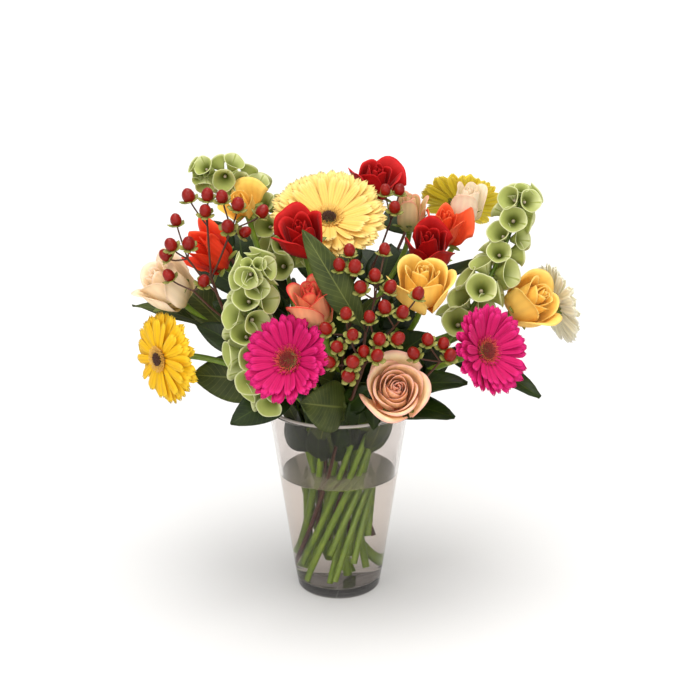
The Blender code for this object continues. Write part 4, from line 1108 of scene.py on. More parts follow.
def make_gerbera(flower, number):
    look = GERBERA_LOOKS[flower.name]
    half = flower.width / 2
    eye = half * look.eye_share
    root = eye * 0.75
    reach = half - root
    seed = seed_piece(flower.name + "_seed",
                      ray_petal(reach, look.petal_width, look.bend, tip=look.tip))
    finish = petal_finish(look.colour + "_ray_" + str(number), look.throat, look.body, look.body,
                          look.rim)
    tilt = math.atan2(flower.cup - look.bend * reach, reach)
    steps = []
    for layer, (length, more, crowd) in enumerate(look.whorls):
        steps.append(("whorl", {
            "Petal": seed, "Count": int(look.count * crowd), "Root Radius": root,
            "Root Height": 0.0006 * layer - 0.002,
            "Tilt": tilt + more, "Tilt Jitter": 0.07, "Turn": 0.13 + layer * 3.1, "Turn Jitter": 0.07,
            "Roll Jitter": 0.28, "Size": length, "Size Jitter": 0.07, "Seed": number * 10 + layer,
            "Material": finish}))
    petals = grow(flower.name + "_petals", steps)
    dark, fuzz = EYES[look.centre]
    middle = grow(flower.name + "_eye", [
        ("whorl", {"Petal": TRANS_SEED, "Count": 46, "Root Radius": eye * 0.85, "Root Height": 0.0006,
                   "Tilt": tilt + 0.42,
                   "Tilt Jitter": 0.12, "Turn": 0.4, "Turn Jitter": 0.1,
                   "Size": look.fuzz * half / 0.021, "Size Jitter": 0.25,
                   "Seed": number, "Material": finish}),
        ("disc", {"Floret": FUZZ_SEED, "Count": 190, "Radius": eye * 1.12, "First": 0.30,
                  "Height": -0.0005, "Dome": 0.0005,
                  "Size Inside": 0.75, "Size Outside": 1.0, "Lean": 0.75, "Seed": number + 40,
                  "Material": fuzz}),
        ("disc", {"Floret": FLORET_SEED, "Count": 130, "Radius": eye * 0.62, "First": 0.0,
                  "Height": 0.0008, "Dome": 0.0012,
                  "Size Inside": 0.8, "Size Outside": 1.0, "Lean": 0.5, "Seed": number + 60,
                  "Material": dark}),
    ])
    cup = make(flower.name + "_cup", lathe([
        (0, -GERBERA_DEPTH), (CALYX_RADIUS * 0.8, -GERBERA_DEPTH),
        (CALYX_RADIUS * 1.3, -GERBERA_DEPTH * 0.8),
        (eye * 0.9, -GERBERA_DEPTH * 0.4), (eye * 1.05, -0.0022), (eye * 0.9, -0.0004), (0, 0.0004)],
        20), BRACT_FINISH)
    back = grow(flower.name + "_bracts", [
        ("whorl", {"Petal": BRACT_SEED, "Count": 17, "Root Radius": CALYX_RADIUS * 1.15,
                   "Root Height": -GERBERA_DEPTH * 0.85,
                   "Tilt": 1.0, "Tilt Jitter": 0.08, "Turn": 0.0, "Size": 0.95, "Size Jitter": 0.15,
                   "Seed": number, "Material": BRACT_FINISH}),
        ("whorl", {"Petal": BRACT_SEED, "Count": 21, "Root Radius": eye * 0.95,
                   "Root Height": -GERBERA_DEPTH * 0.42,
                   "Tilt": 0.42 + tilt, "Tilt Jitter": 0.10, "Turn": 0.2, "Size": 0.9,
                   "Size Jitter": 0.2, "Seed": number + 3,
                   "Material": BRACT_FINISH})])
    along = facing(flower.turn, flower.tilt)
    for thing in (petals, middle, cup, back):
        stand(thing, eye_of(flower), along)
    as_piece(petals, look.colour + "_petal", flower.name)
    for thing in (middle, cup, back):
        as_piece(thing)


RoseLook = namedtuple("RoseLook", "petals open roll point spread drop width throat body outer rim glow")
# throat: darker towards each petal's base, deep in the bloom, partly the rose's own deeper colour and partly
# painted shade.
ROSE_LOOKS = {
    # rim: for the yellow, red and orange roses a painted highlight on the petal edges; for the coral, peach and
    # bud roses their own edge colour.
    "rose_cream": RoseLook(15, 0.06, 2.0, 0.10, 0.14, 0.04, 1.0, lin(232, 208, 136), lin(253, 226, 184),
                           lin(252, 236, 206), lin(253, 230, 206), 0.3),
    "rose_coral": RoseLook(17, 0.10, 1.5, 0.10, 0.16, 0.04, 1.0, lin(230, 208, 126), lin(248, 136, 102),
                           lin(249, 186, 140), lin(230, 62, 60), 0.35),
    "rose_peach": RoseLook(24, 0.16, 1.9, 0.04, 0.30, 0.14, 1.02, lin(252, 168, 108),
                           lin(255, 206, 162), lin(253, 236, 200), lin(252, 204, 186), 0.42),
    "rose_yellow_front": RoseLook(16, 0.14, 1.6, 0.06, 0.20, 0.10, 1.0, lin(246, 170, 40),
                                  lin(253, 208, 84), lin(254, 220, 116), lin(254, 226, 132), 0.3),
    "rose_yellow_right": RoseLook(16, 0.12, 1.6, 0.06, 0.20, 0.10, 1.0, lin(244, 170, 44),
                                  lin(252, 204, 82), lin(253, 216, 112), lin(254, 224, 130), 0.3),
    "rose_red_front": RoseLook(13, 0.26, 1.6, 0.12, 0.50, 0.00, 0.88, lin(104, 2, 4), lin(176, 10, 10),
                               lin(186, 14, 12), lin(206, 22, 20), 0.25),
    "rose_red_top": RoseLook(14, 0.30, 1.5, 0.08, 0.45, 0.02, 0.86, lin(112, 2, 6), lin(178, 12, 14),
                             lin(190, 16, 18), lin(210, 24, 28), 0.25),
    "rose_red_centre": RoseLook(13, 0.30, 1.5, 0.12, 0.45, 0.06, 0.84, lin(112, 2, 4), lin(170, 8, 10),
                                lin(182, 12, 12), lin(200, 20, 18), 0.25),
    "rose_orange_centre": RoseLook(13, 0.30, 1.2, 0.22, 0.42, 0.06, 0.86, lin(214, 56, 14),
                                   lin(244, 84, 34), lin(250, 104, 56), lin(252, 118, 70), 0.3),
    "rose_orange_left": RoseLook(11, 0.40, 1.2, 0.30, 0.45, 0.04, 0.80, lin(206, 36, 8),
                                 lin(236, 50, 18), lin(244, 68, 30), lin(250, 88, 44), 0.3),
    "rose_yellow_back": RoseLook(9, 0.50, 0.4, 0.00, 0.30, 0.16, 0.84, lin(240, 168, 40),
                                 lin(252, 204, 84), lin(253, 214, 104), lin(254, 220, 120), 0.3),
    "rose_white_bud": RoseLook(11, 0.02, 0.8, 0.04, 0.06, 0.00, 1.0, lin(236, 226, 170),
                               lin(255, 246, 226), lin(255, 246, 228), lin(254, 232, 210), 0.4),
    "rose_cream_bud": RoseLook(11, 0.02, 0.8, 0.04, 0.06, 0.00, 1.0, lin(200, 204, 110),
                               lin(250, 228, 184), lin(246, 230, 184), lin(248, 188, 160), 0.4),
}
GOLDEN_TURN = 2.399963


def rose_petals(flower, look, chance):
    """Petals in a spiral, tight in the middle and wider and more open outwards."""
    half, length = flower.width / 2, flower.length
    rows, cols = 14, 15
    t = np.linspace(0, 1, rows)[:, None]
    s = np.linspace(-1, 1, cols)[None, :]
    edge = np.abs(s)
    across = np.tile(np.linspace(1, -1, cols), rows)
    shells = []
    for number in range(look.petals):
        out = number / (look.petals - 1)
        spread = np.clip((out - 0.30) / 0.70, 0, 1)
        radius = half * (0.07 + 0.86 * out**1.3) * chance.uniform(0.97, 1.03)
        tall = length * (0.99 - look.drop * out - 0.12 * spread * look.open) * chance.uniform(0.95, 1.02)
        span = math.radians(158 - 104 * out**0.5) * look.width * chance.uniform(0.90, 1.08)
        middle = number * GOLDEN_TURN + chance.uniform(-0.2, 0.2)
        column = tall * (1 - 0.42 * edge**2.6 + look.point * 0.5 * (1 - edge) ** 2 * spread)
        belly = np.sin(np.pi / 2 * np.clip(t / 0.60, 0, 1)) ** 0.75
        upper = np.clip((t - 0.55) / 0.45, 0, 1)
        opening = look.open * spread**1.3 * chance.uniform(0.75, 1.25)
        closing = 0.30 * (1 - spread) + 0.03
        r = 0.0016 + (radius - 0.0016) * belly * (1 + opening * upper**1.4 - closing * upper**2)
        r = r + (0.0010 + radius * 0.05) * s * (0.2 + 0.8 * t)
        lip = 0.15 + 0.08 * spread
        curl = look.roll * (0.12 + 0.88 * spread) * (0.85 - 0.35 * edge**2) * chance.uniform(0.65, 1.25)
        turn = np.clip((t - (1 - lip)) / lip, 0, 1) * curl
        bow = column * lip / (curl + 0.2)
        z = column * np.minimum(t, 1 - lip) ** 1.22 + bow * np.sin(turn)
        r = r + bow * (1 - np.cos(turn))
        phase = chance.uniform(0, 6.28)
        r = r + half * look.spread * 0.10 * np.sin(s * 4.2 + phase) * t**2 * (0.3 + spread)
        z = z + length * look.spread * 0.07 * np.sin(s * 5.1 + phase * 2) * t**3 * (0.3 + spread)
        angle = middle + s * span * (0.62 + 0.38 * np.sin(np.pi / 2 * np.clip(t / 0.6, 0, 1)))
        face = np.stack([r * np.sin(angle), r * np.cos(angle), z + 0 * s], 2)
        shells.append(sheet(face[:, ::-1], 0.00035, out, across=across))
    return joined(shells)


SEPAL_SEED = seed_piece("sepal_seed", ray_petal(0.021, 0.0075, -0.30, arch=0.10, groove=0.0,
                                                tip="point", rows=9, cols=5, thickness=0.0005))


def make_rose(flower, number):
    look = ROSE_LOOKS[flower.name]
    chance = np.random.default_rng(100 + number)
    finish = petal_finish(flower.name + "_finish", look.throat, look.body, look.outer, look.rim,
                          reach=0.60, rim_reach=0.12,
                          depth=0.10, veins=16.0, spread=0.05, glow=look.glow)
    petals = make(flower.name + "_petals", rose_petals(flower, look, chance), finish)
    hip = lathe([(0, -0.0015), (CALYX_RADIUS * 0.7, -0.0014), (CALYX_RADIUS * 1.15, 0.0022),
                 (CALYX_RADIUS * 1.2, 0.005),
                 (CALYX_RADIUS * 0.9, 0.0075), (0, 0.0078)], 14)
    green = make(flower.name + "_hip", hip, STEM_FINISH)
    sepals = grow(flower.name + "_sepals", [("whorl", {
        "Petal": SEPAL_SEED, "Count": 5, "Root Radius": CALYX_RADIUS * 1.05, "Root Height": 0.0055,
        "Tilt": 0.95 if look.open < 0.15 else 0.35, "Tilt Jitter": 0.35, "Turn": 0.3,
        "Turn Jitter": 0.2,
        "Size": flower.length / 0.050, "Size Jitter": 0.2, "Seed": number, "Material": BRACT_FINISH})])
    seat, along = seat_of(flower)
    for thing in (petals, green, sepals):
        stand(thing, seat, along, roll=number * 1.7)
    as_piece(petals, flower.colour + "_petal", flower.name)
    as_piece(green, "stem")
    as_piece(sepals, "stem")


# ---------------------------------------------------------------- stems
def whole_stem(foot, course):
    """From the cut end on the glass base to the end above the rim."""
    under = [foot.lerp(Vector(course[0]), share) for share in np.linspace(0, 1, 14)[:-1]]
    return under + [Vector(p) for p in course]


def make_stems(stems, courses):
    for flower in GERBERAS + ROSES:
        foot, neck, radius = stems[flower.name]
        seat, along = seat_of(flower)
        way = whole_stem(foot, courses[flower.name]) + [seat + along * 0.001]
        sizes = np.full(len(way), radius)
        sizes[-3:] = radius * np.array([1.05, 1.2, 1.35])
        stem = grow(flower.name + "_stalk", [("tube", {"Sides": 14, "Material": STEM_FINISH})],
                    lines_mesh(flower.name + "_line", [(way, sizes)]))
        as_piece(stem, "stem", flower.name + "_stem")


# ---------------------------------------------------------------- bells of Ireland
def bell_shape():
    """One open bell, its mouth to +Z, wavy at the rim."""
    outer = [(0.0018, 0.0), (0.0040, 0.0036), (0.0062, 0.0078), (0.0086, 0.0118), (0.0112, 0.0150),
             (0.0136, 0.0168)]
    profile = [(0, 0)] + outer + [(r - 0.0004, z + 0.0002) for r, z in reversed(outer)] + [(0, 0.0008)]

    def wave(number, angle):
        depth = min(number, len(profile) - 3 - number) / 5.0
        fold = depth**2.2
        return 1 + 0.03 * fold * np.cos(5 * angle + 0.6) + 0.04 * fold * np.cos(2 * angle), 0.0010 * fold * np.cos(2 * angle)

    bell = lathe(profile, 30, wave)
    # 'along' runs from the heart to the lip inside, so the heart inside the cup takes the dark throat colour as
    # painted shade; it stays pale outside
    deep = np.array([0.5, *np.linspace(0.55, 1.0, 6), *np.linspace(1.0, 0.0, 6), 0.0])
    return bell._replace(along=np.concatenate([[deep[0]], np.repeat(deep[1:-1], 30), [deep[-1]]]))


# The dark throat colour is painted shade in the bell's heart; the pale rim is the bell's own.
BELL_FINISH = petal_finish("bell_green", lin(104, 118, 30), lin(168, 182, 84), lin(206, 210, 134),
                           lin(236, 238, 190),
                           reach=0.75, rim_reach=0.10, depth=0.12, veins=7.0, spread=0.12, glow=0.40)
BELL_SEED = seed_piece("bell_seed", bell_shape())
NUTLET_SEED = seed_piece("nutlet_seed", lathe([(0, 0.001), (0.0016, 0.0018), (0.0020, 0.0045),
                                               (0.0011, 0.0064), (0, 0.0068)], 8))
NUTLET_FINISH = surface("bell_heart", "speckle",
                        {"First": lin(150, 120, 84), "Second": lin(236, 226, 206), "Scale": 500.0},
                        glow=0.1)


def make_bells(spike, stem, course, number):
    foot, neck, radius = stem
    way = whole_stem(foot, course)
    run = np.linspace(1.0, 0.62, len(way))
    stalk = grow(spike.name + "_stalk", [("tube", {"Sides": 12, "Material": STEM_FINISH})],
                 lines_mesh(spike.name + "_line", [(way, BELLS_STEM * run)]))
    length = sum((Vector(a) - Vector(b)).length for a, b in zip(course, course[1:]))
    whorls = int(round(length * (1 - spike.start) / 0.0180))
    values = {"Whorls": whorls, "Bells": 4, "First": spike.start + 0.02, "Last": 0.97, "Tilt": 0.42,
              "Jitter": 0.40,
              "Size Low": spike.wide / 0.0225, "Size High": spike.last / 0.0225 * 1.25,
              "Stand Off": 0.0035, "Seed": number}
    line = lines_mesh(spike.name + "_axis", [(course, BELLS_STEM)])
    bells = grow(spike.name + "_bells", [("spike",
                                          {**values, "Bell": BELL_SEED, "Material": BELL_FINISH})],
                                          line.copy())
    crown = grow(spike.name + "_crown", [("spike", {
        **values, "Bell": BELL_SEED, "Material": BELL_FINISH, "Whorls": 2, "Bells": 3, "First": 0.95,
        "Last": 1.0, "Tilt": 0.85,
        "Size Low": spike.last / 0.024, "Size High": spike.last / 0.032, "Seed": number + 20})],
        line.copy())
    as_piece(crown, "bells")
    hearts = grow(spike.name + "_hearts",
                  [("spike", {**values, "Bell": NUTLET_SEED, "Material": NUTLET_FINISH})], line)
    as_piece(bells, "bells", spike.name)
    as_piece(stalk, "stem")
    as_piece(hearts)


# ---------------------------------------------------------------- hypericum
BERRY_SEED = seed_piece("berry_seed", lathe([
    (0, -0.0060), (0.0026, -0.0056), (0.0046, -0.0036), (0.0054, -0.0008), (0.0051, 0.0020),
    (0.0040, 0.0044), (0.0022, 0.0060), (0.0008, 0.0066), (0, 0.0068)], 14))
BERRY_FINISH = surface("berry_red", "speckle", {
    "First": lin(98, 8, 6), "Second": lin(184, 30, 16), "Scale": 120.0, "Tone Share": 0.6},
    roughness=0.35, bump=0.02, coat=0.12, shine=0.3)
CUP_FINISH = surface("berry_sepals", "leaf", {
    "Blade": lin(128, 134, 50), "Other": lin(184, 178, 98), "Vein": lin(196, 190, 118)}, roughness=0.5,
    glow=0.2)


def star_of(count, length, width, bend, tilt):
    """Sepals in a ring, opening from the origin towards +Z."""
    petal = ray_petal(length, width, bend, arch=0.18, groove=0.0, tip="round", rows=6, cols=5,
                      thickness=0.0005)
    shells = []
    for step in range(count):
        turn = Matrix.Rotation(2 * math.pi * step / count, 3, "Z") @ Matrix.Rotation(tilt, 3, "X")
        points = petal.points @ np.array(turn).T
        shells.append(petal._replace(points=points))
    return joined(shells)


SEPALS_SEED = seed_piece("berry_sepals_seed", star_of(5, 0.0088, 0.0062, 0.10, 0.22))


def make_sprig(sprig, stem, course, number):
    foot, neck, radius = stem
    way = whole_stem(foot, course)
    lines = [(way, np.linspace(1.0, 0.75, len(way)) * HYPERICUM_STEM)]
    places, aims = [], []
    free = [Vector(p) for p in course]
    for fork, berries in sprig.clusters:
        fork = above_rim(fork)
        root = fork_root(free, fork, TWIG_DROP)
        twig = bezier(root, root.lerp(fork, 0.5) + Vector((0, 0, -0.004)), fork.lerp(root, 0.25), fork,
                      8)
        lines.append((twig, TWIG_RADIUS))
        for berry in berries:
            berry = above_rim(berry)
            along = (berry - fork).normalized()
            axis = (along + BERRY_LIFT).normalized()
            base = berry - axis * 0.0058
            lines.append((bezier(fork, fork.lerp(base, 0.4) + Vector((0, 0, -0.001)),
                                 base - axis * 0.004, base, 6), STALK_RADIUS))
            places.append(berry)
            aims.append(axis)
    twigs = grow(sprig.name + "_twigs", [("tube", {"Sides": 8, "Material": TWIG_FINISH})],
                 lines_mesh(sprig.name + "_lines", lines))
    chance = np.random.default_rng(500 + number)
    sizes = [Vector((1, 1, 1)) * chance.uniform(0.98, 1.16) for _ in places]
    # a berry's own axis is +Z, so its aim for the tree is any direction across it
    across = [axis.orthogonal().normalized() for axis in aims]
    berries = grow(sprig.name + "_berries",
                   [("placed", {"Piece": BERRY_SEED, "Seed": number, "Material": BERRY_FINISH})],
                   points_mesh("berry_places", places, aim=across, face=aims, size=sizes))
    roots = [place - axis * 0.0055 for place, axis in zip(places, aims)]
    cups = grow(sprig.name + "_sepals", [("placed",
                                          {"Piece": SEPALS_SEED, "Seed": number,
                                           "Material": CUP_FINISH})],
                points_mesh("sepal_places", roots, aim=across, face=aims, size=sizes))
    as_piece(berries, "berry", sprig.name)
    as_piece(cups, "stem")
    as_piece(twigs, "stem")


# ---------------------------------------------------------------- leaves
def leaf_shape(length=1.0, width=0.5, bow=0.16, fold=0.10, wave=0.02):
    """A pointed leaf of unit length along +Y, its face to +Z."""
    rows, cols = 15, 9
    t = np.linspace(0, 1, rows)[:, None]
    s = np.linspace(-1, 1, cols)[None, :]
    blade = np.clip((t - 0.10) / 0.90, 0, 1)
    half = width / 2 * np.clip(np.sin(np.pi * blade**0.78) ** 0.70, 0.028, 1)
    x = half * s
    z = 2 * t * (1 - t) * bow * length + fold * half * np.abs(s) * 1.2 + wave * length * np.sin(t * 9 + s) * s**2
    y = length * t + 0 * s
    return sheet(np.stack([x + 0 * t, y, z + 0 * s], 2), 0.012)


LEAF_SEED = seed_piece("leaf_seed", leaf_shape())
LEAF_FINISH = surface("leaf_dark", "leaf", {
    "Blade": lin(20, 36, 4), "Other": lin(42, 60, 10), "Vein": lin(60, 78, 22)}, roughness=0.45,
    glow=0.08, bump=0.15, shine=0.28)
DEEP_FINISH = surface("leaf_deep", "leaf", {
    "Blade": lin(18, 28, 4), "Other": lin(38, 48, 10), "Vein": lin(52, 62, 20)}, roughness=0.5,
    glow=0.05, bump=0.15, shine=0.25)
OLIVE_FINISH = surface("leaf_olive", "leaf", {
    "Blade": lin(44, 56, 12), "Other": lin(84, 94, 34), "Vein": lin(112, 120, 56)}, roughness=0.5,
    glow=0.15, bump=0.15, shine=0.3)


OVER_RIM = 0.012  # how far above the rim a leaf leaves the bunch when it hangs outside


def leaf_places(leaves, courses):
    """Where each leaf springs from, where it points, its face and its size."""
    roots, aims, faces, sizes = [], [], [], []
    for leaf in leaves:
        free = [Vector(p) for p in courses[leaf.stem]]
        root = along_way(free, leaf.share)
        tip = above_rim(leaf.tip)
        if math.hypot(tip.x, tip.y) > RIM_RADIUS > math.hypot(root.x, root.y):
            root.z = max(root.z, VASE_HEIGHT + OVER_RIM)
        reach = tip - root
        roots.append(root)
        aims.append(reach.normalized())
        faces.append(Vector(leaf.face))
        sizes.append(Vector((leaf.width * 2.5, reach.length, reach.length)))
    return roots, aims, faces, sizes


def make_leaves(name, leaves, courses, finish, slot_name, number, *nodes):
    roots, aims, faces, sizes = leaf_places(leaves, courses)
    grown = grow(name, [("placed", {"Piece": LEAF_SEED, "Seed": number, "Material": finish})],
                 points_mesh(name + "_places", roots, aim=aims, face=faces, size=sizes))
    return as_piece(grown, slot_name, *nodes)


def make_spray(spray, stem, course, courses, number):
    foot, neck, radius = stem
    way = whole_stem(foot, course)
    stalk = grow(spray.name + "_stalk", [("tube", {"Sides": 10, "Material": TWIG_FINISH})],
                 lines_mesh(spray.name + "_line", [(way, SPRAY_STEM)]))
    last = len(spray.tips) - 1
    leaves = [Leaf(spray.name, SPRAY_FIRST - SPRAY_SPAN * i / last, tip, SPRAY_LEAF, UP) for i,
              tip in enumerate(spray.tips)]
    make_leaves(spray.name + "_blades", leaves, courses, LEAF_FINISH, "leaf", number, spray.name)
    as_piece(stalk, "stem")


FILLER_TO_BLOOM = 0.004  # how far the small leaves keep from the blooms
FILLER_TO_RIM = 0.004
FILLER_TO_GLASS = 0.006


def clear_of_blooms(points, blooms):
    return all((point - centre).length > reach + FILLER_TO_BLOOM for point in points for centre, reach in blooms)


def inside_glass(points):
    """True if every point is above the rim or well within the glass."""
    return all(p.z > VASE_HEIGHT + FILLER_TO_RIM or math.hypot(p.x,
                                                       p.y) < glass_radius(p.z) - FILLER_TO_GLASS for p in points)


def filler_leaves(stems, courses):
    """Leaves on the stems inside the bouquet and in the vase's mouth, where no bloom is in the way."""
    chance = np.random.default_rng(77)
    blooms = [(above_rim(f.place), f.width * (0.5 if isinstance(f, Rose) else 0.42)) for f in GERBERAS + ROSES]
    roots, aims, faces, sizes = [], [], [], []
    for name in sorted(courses):
        foot, neck, radius = stems[name]
        lower = [foot.lerp(neck, share) for share in np.linspace(0.62, 1.0, 6)]
        line = lower + [Vector(p) for p in courses[name]]
        for _ in range(7):
            share = chance.uniform(0.02, 0.62)
            root = along_way(line, share)
            outward = Vector((root.x, root.y,
                              0)).normalized() if math.hypot(root.x, root.y) > 0.004 else Vector((0, -1, 0))
            spin = Matrix.Rotation(chance.uniform(-0.9, 0.9), 3, "Z")
            rise = chance.uniform(1.6, 3.4) if root.z < VASE_HEIGHT else chance.uniform(0.25, 1.5)
            aim = (spin @ outward + Vector((0, 0, rise))).normalized()
            length = chance.uniform(0.038, 0.062)
            width = length * chance.uniform(0.40, 0.56)
            over = [root + aim * length * reach + Vector((0, 0,
                                                          0.03 * length)) for reach in (0.3, 0.6, 1.0)]
            side = aim.cross(Vector((0, 0, 1))).normalized() * width * 0.5
            over += [over[1] + side, over[1] - side]
            tip = over[2]
            if tip.z > VASE_HEIGHT + 0.165 or tip.y < -0.085 or math.hypot(tip.x, tip.y) > 0.118:
                continue
            if not (inside_glass(over) and clear_of_blooms(over, blooms)):
                continue
            if root.z < VASE_HEIGHT and chance.uniform(0, 1) < 0.35:
                continue
            roots.append(root)
            aims.append(aim)
            faces.append(outward * 0.6 + Vector((0, -0.5, 0.5)))
            sizes.append(Vector((width * 2.1, length, length)))
    return roots, aims, faces, sizes


def make_fillers(stems, courses):
    roots, aims, faces, sizes = filler_leaves(stems, courses)
    for name, finish, every in (("leaves_between", DEEP_FINISH, slice(0, None, 3)),
                                ("leaves_among", LEAF_FINISH, slice(1, None, 3)),
                                ("leaves_pale", OLIVE_FINISH, slice(2, None, 3))):
        grown = grow(name, [("placed", {"Piece": LEAF_SEED, "Seed": 9, "Material": finish})],
                     points_mesh(name + "_places", roots[every], aim=aims[every], face=faces[every],
                                 size=sizes[every]))
        as_piece(grown, "leaf")


# ---------------------------------------------------------------- vase and water
GLASS_FINISH = clear("clear_glass", (0.78, 0.742, 0.72, 1.0), 1.47, mirror=0.30, shade=0.76)
# The rim's bright line is pale opaque stuff, a painted highlight along the glass lip.
RIM_HIGHLIGHT_FINISH = surface("glass_rim", "speckle", {
    "First": lin(214, 206, 200), "Second": lin(232, 226, 220), "Scale": 40.0}, roughness=0.15, glow=0.5)
WATER_FINISH = clear("clear_water", (0.99, 0.965, 0.925, 1.0), 1.33, mirror=0.30)


def film_finish():
    """A painted reflection on top of the water: a dull grey disc, about half of it see-through."""
    finish = bpy.data.materials.new("water_film")
    finish.use_nodes = True
    tree = finish.node_tree
    shader = tree.nodes["Principled BSDF"]
    shader.inputs["Base Color"].default_value = lin(172, 166, 142)
    shader.inputs["Roughness"].default_value = 0.35
    open_way = put(tree, "ShaderNodeBsdfTransparent", {"Color": (1.0, 1.0, 1.0, 1.0)})
    light = tree.nodes.new("ShaderNodeLightPath")
    share = put(tree, "ShaderNodeMapRange",
                {0: light.outputs["Is Shadow Ray"], 3: 0.62, 4: 0.9}).outputs[0]
    mix = put(tree, "ShaderNodeMixShader", {0: share, 1: shader.outputs[0], 2: open_way.outputs[0]})
    tree.links.new(mix.outputs[0], tree.nodes["Material Output"].inputs["Surface"])
    return finish


def make_vase():
    wall = []
    for angle in range(-90, 1, 15):
        turn = math.radians(angle)
        wall.append((FOOT_RADIUS - FOOT_ROUNDING * (1 - math.cos(turn)),
                     FOOT_ROUNDING * (1 + math.sin(turn))))
    for share in [*np.linspace(0.1, 0.95, 10), 0.978, 0.986]:
        height = FOOT_ROUNDING + (VASE_HEIGHT - FOOT_ROUNDING) * share
        wall.append((glass_radius(height) + GLASS_WALL, height))
    for share in [0.985, 0.977, *np.linspace(0.95, 0.06, 10)]:
        height = GLASS_BASE + (VASE_HEIGHT - GLASS_BASE) * share
        wall.append((glass_radius(height), height))
    for angle in range(0, 91, 15):
        turn = math.radians(angle)
        corner = 0.006
        wall.append((glass_radius(GLASS_BASE) - corner * (1 - math.cos(turn)),
                     GLASS_BASE + corner * (1 - math.sin(turn))))
    vase = make("vase_glass", lathe([(0, 0)] + wall + [(0, GLASS_BASE)], 128), GLASS_FINISH)
    as_piece(vase, "glass", "vase")
    # An opaque pale bead round the lip stands in for the glass rim's bright line: a painted highlight.
    middle, bead = glass_radius(VASE_HEIGHT) + GLASS_WALL / 2, GLASS_WALL * 0.48
    ring = [(middle + bead * math.cos(a),
             VASE_HEIGHT - bead + bead * math.sin(a)) for a in np.linspace(0, 2 * math.pi, 13)[:-1]]
    angle = np.linspace(0, 2 * math.pi, 129)[:-1]
    rim = loop_solid([[(r * math.cos(a), r * math.sin(a), z) for a in angle] for r, z in ring])
    as_piece(make("vase_rim", rim, RIM_HIGHLIGHT_FINISH), "glass")
    skin = 0.00015
    corner = 0.006
    inside = [(0, GLASS_BASE - skin)]
    for angle in range(90, -1, -15):
        turn = math.radians(angle)
        inside.append((glass_radius(GLASS_BASE) - corner * (1 - math.cos(turn)) + skin,
                       GLASS_BASE - skin + corner * (1 - math.sin(turn))))
    for share in [*np.linspace(0.08, 0.97, 9), 0.990, 0.997]:
        height = GLASS_BASE + (WATER_LEVEL - GLASS_BASE) * share
        inside.append((glass_radius(height) + skin, height))
    edge = glass_radius(WATER_LEVEL)
    inside += [(edge - 0.0006, WATER_LEVEL - 0.0006), (edge - 0.0016, WATER_LEVEL - 0.0008),
               (edge - 0.0024, WATER_LEVEL - 0.0008), (0, WATER_LEVEL - 0.0008)]
    water = make("water_body", lathe(inside, 128), WATER_FINISH)
    as_piece(water, "water", "water")
    # A thin grey disc just under the water's surface, a painted reflection.
    level = WATER_LEVEL - 0.0006
    reflection_disc = lathe([(0, level), (edge - 0.0020, level), (edge - 0.0012, level + 0.0001),
                  (edge - 0.0020, level + 0.0002),
                  (0, level + 0.0002)], 96)
    as_piece(make("water_top", reflection_disc, film_finish()), "water")


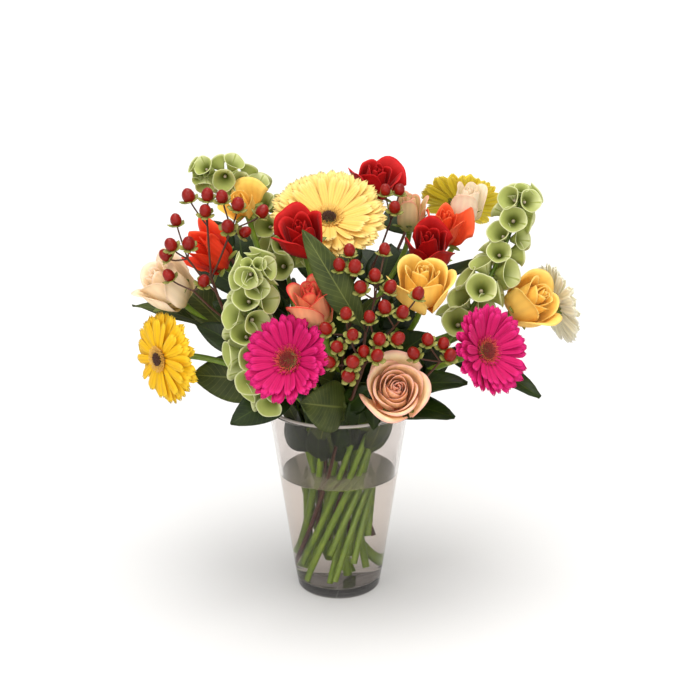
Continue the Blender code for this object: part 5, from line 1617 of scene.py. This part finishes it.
# ---------------------------------------------------------------- the studio
def make_studio():
    floor = bpy.data.meshes.new("floor")
    floor.from_pydata([(-150, -150, 0), (150, -150, 0), (150, 150, 0), (-150, 150, 0)], [],
                      [(0, 1, 2, 3)])
    ground = bpy.data.objects.new("floor", floor)
    bpy.context.scene.collection.objects.link(ground)
    pale = bpy.data.materials.new("pale_floor")
    pale.use_nodes = True
    shader = pale.node_tree.nodes["Principled BSDF"]
    shader.inputs["Base Color"].default_value = (0.70, 0.70, 0.705, 1)
    shader.inputs["Roughness"].default_value = 0.8
    shader.inputs["Specular IOR Level"].default_value = 0.1
    floor.materials.append(pale)
    world = bpy.data.worlds.new("studio")
    bpy.context.scene.world = world
    world.use_nodes = True
    tree = world.node_tree
    sky = tree.nodes["Background"]
    upward = put(tree, "ShaderNodeSeparateXYZ",
                 {0: tree.nodes.new("ShaderNodeTexCoord").outputs["Generated"]}).outputs["Z"]
    rise = put(tree, "ShaderNodeMapRange", {0: upward, 1: 0.0, 2: 0.45},
               interpolation_type="SMOOTHSTEP").outputs[0]
    tint = put(tree, "ShaderNodeMix", {0: rise, 6: (0.42, 0.40, 0.39, 1), 7: (1.0, 0.99, 0.97, 1)},
               data_type="RGBA").outputs[2]
    tree.links.new(tint, sky.inputs["Color"])
    sky.inputs["Strength"].default_value = 0.78
    sun("overhead", (0.03, -0.12, 1.0), 45.0, 2.2)
    sun("key", (-0.70, -1.0, 0.60), 40.0, 0.70)
    sun("front", (0.20, -1.0, 0.26), 70.0, 1.50)


def sun(name, direction, softness, strength):
    light = bpy.data.lights.new(name, "SUN")
    light.angle = math.radians(softness)
    light.energy = strength
    light.color = (1.0, 0.985, 0.955)
    light.cycles.use_multiple_importance_sampling = False
    thing = bpy.data.objects.new(name, light)
    bpy.context.scene.collection.objects.link(thing)
    thing.location = Vector(direction) * 2
    thing.rotation_euler = Vector(direction).to_track_quat("Z", "Y").to_euler()


def make_camera():
    lens = bpy.data.cameras.new("camera")
    lens.lens = 70.19
    lens.sensor_width = 36.0
    camera = bpy.data.objects.new("camera", lens)
    bpy.context.scene.collection.objects.link(camera)
    camera.location = (0.0116, -1.3, 0.661)
    camera.rotation_euler = (math.pi / 2 - 0.303, 0, 0)
    bpy.context.scene.camera = camera


# ---------------------------------------------------------------- everything
def main():
    stems, courses = build_bouquet()
    make_camera()
    make_studio()
    make_vase()
    make_stems(stems, courses)
    for number, flower in enumerate(GERBERAS):
        make_gerbera(flower, number + 1)
    for number, flower in enumerate(ROSES):
        make_rose(flower, number + 1)
    for number, spike in enumerate(SPIKES):
        make_bells(spike, stems[spike.name], courses[spike.name], number + 1)
    for number, sprig in enumerate(SPRIGS):
        make_sprig(sprig, stems[sprig.name], courses[sprig.name], number + 1)
    olive = {"rose_cream", "hypericum_centre"}
    make_leaves("leaves_olive", [l for l in LEAVES if l.stem in olive], courses,
                OLIVE_FINISH, "leaf", 1)
    make_leaves("leaves_dark", [l for l in LEAVES if l.stem not in olive], courses,
                LEAF_FINISH, "leaf", 2)
    for number, spray in enumerate(SPRAYS):
        make_spray(spray, stems[spray.name], courses[spray.name], courses, number + 1)
    make_fillers(stems, courses)
    for seed in SEEDS:
        bpy.data.objects.remove(seed, do_unlink=True)


main()
bpy.context.scene.view_settings.view_transform = "Standard"
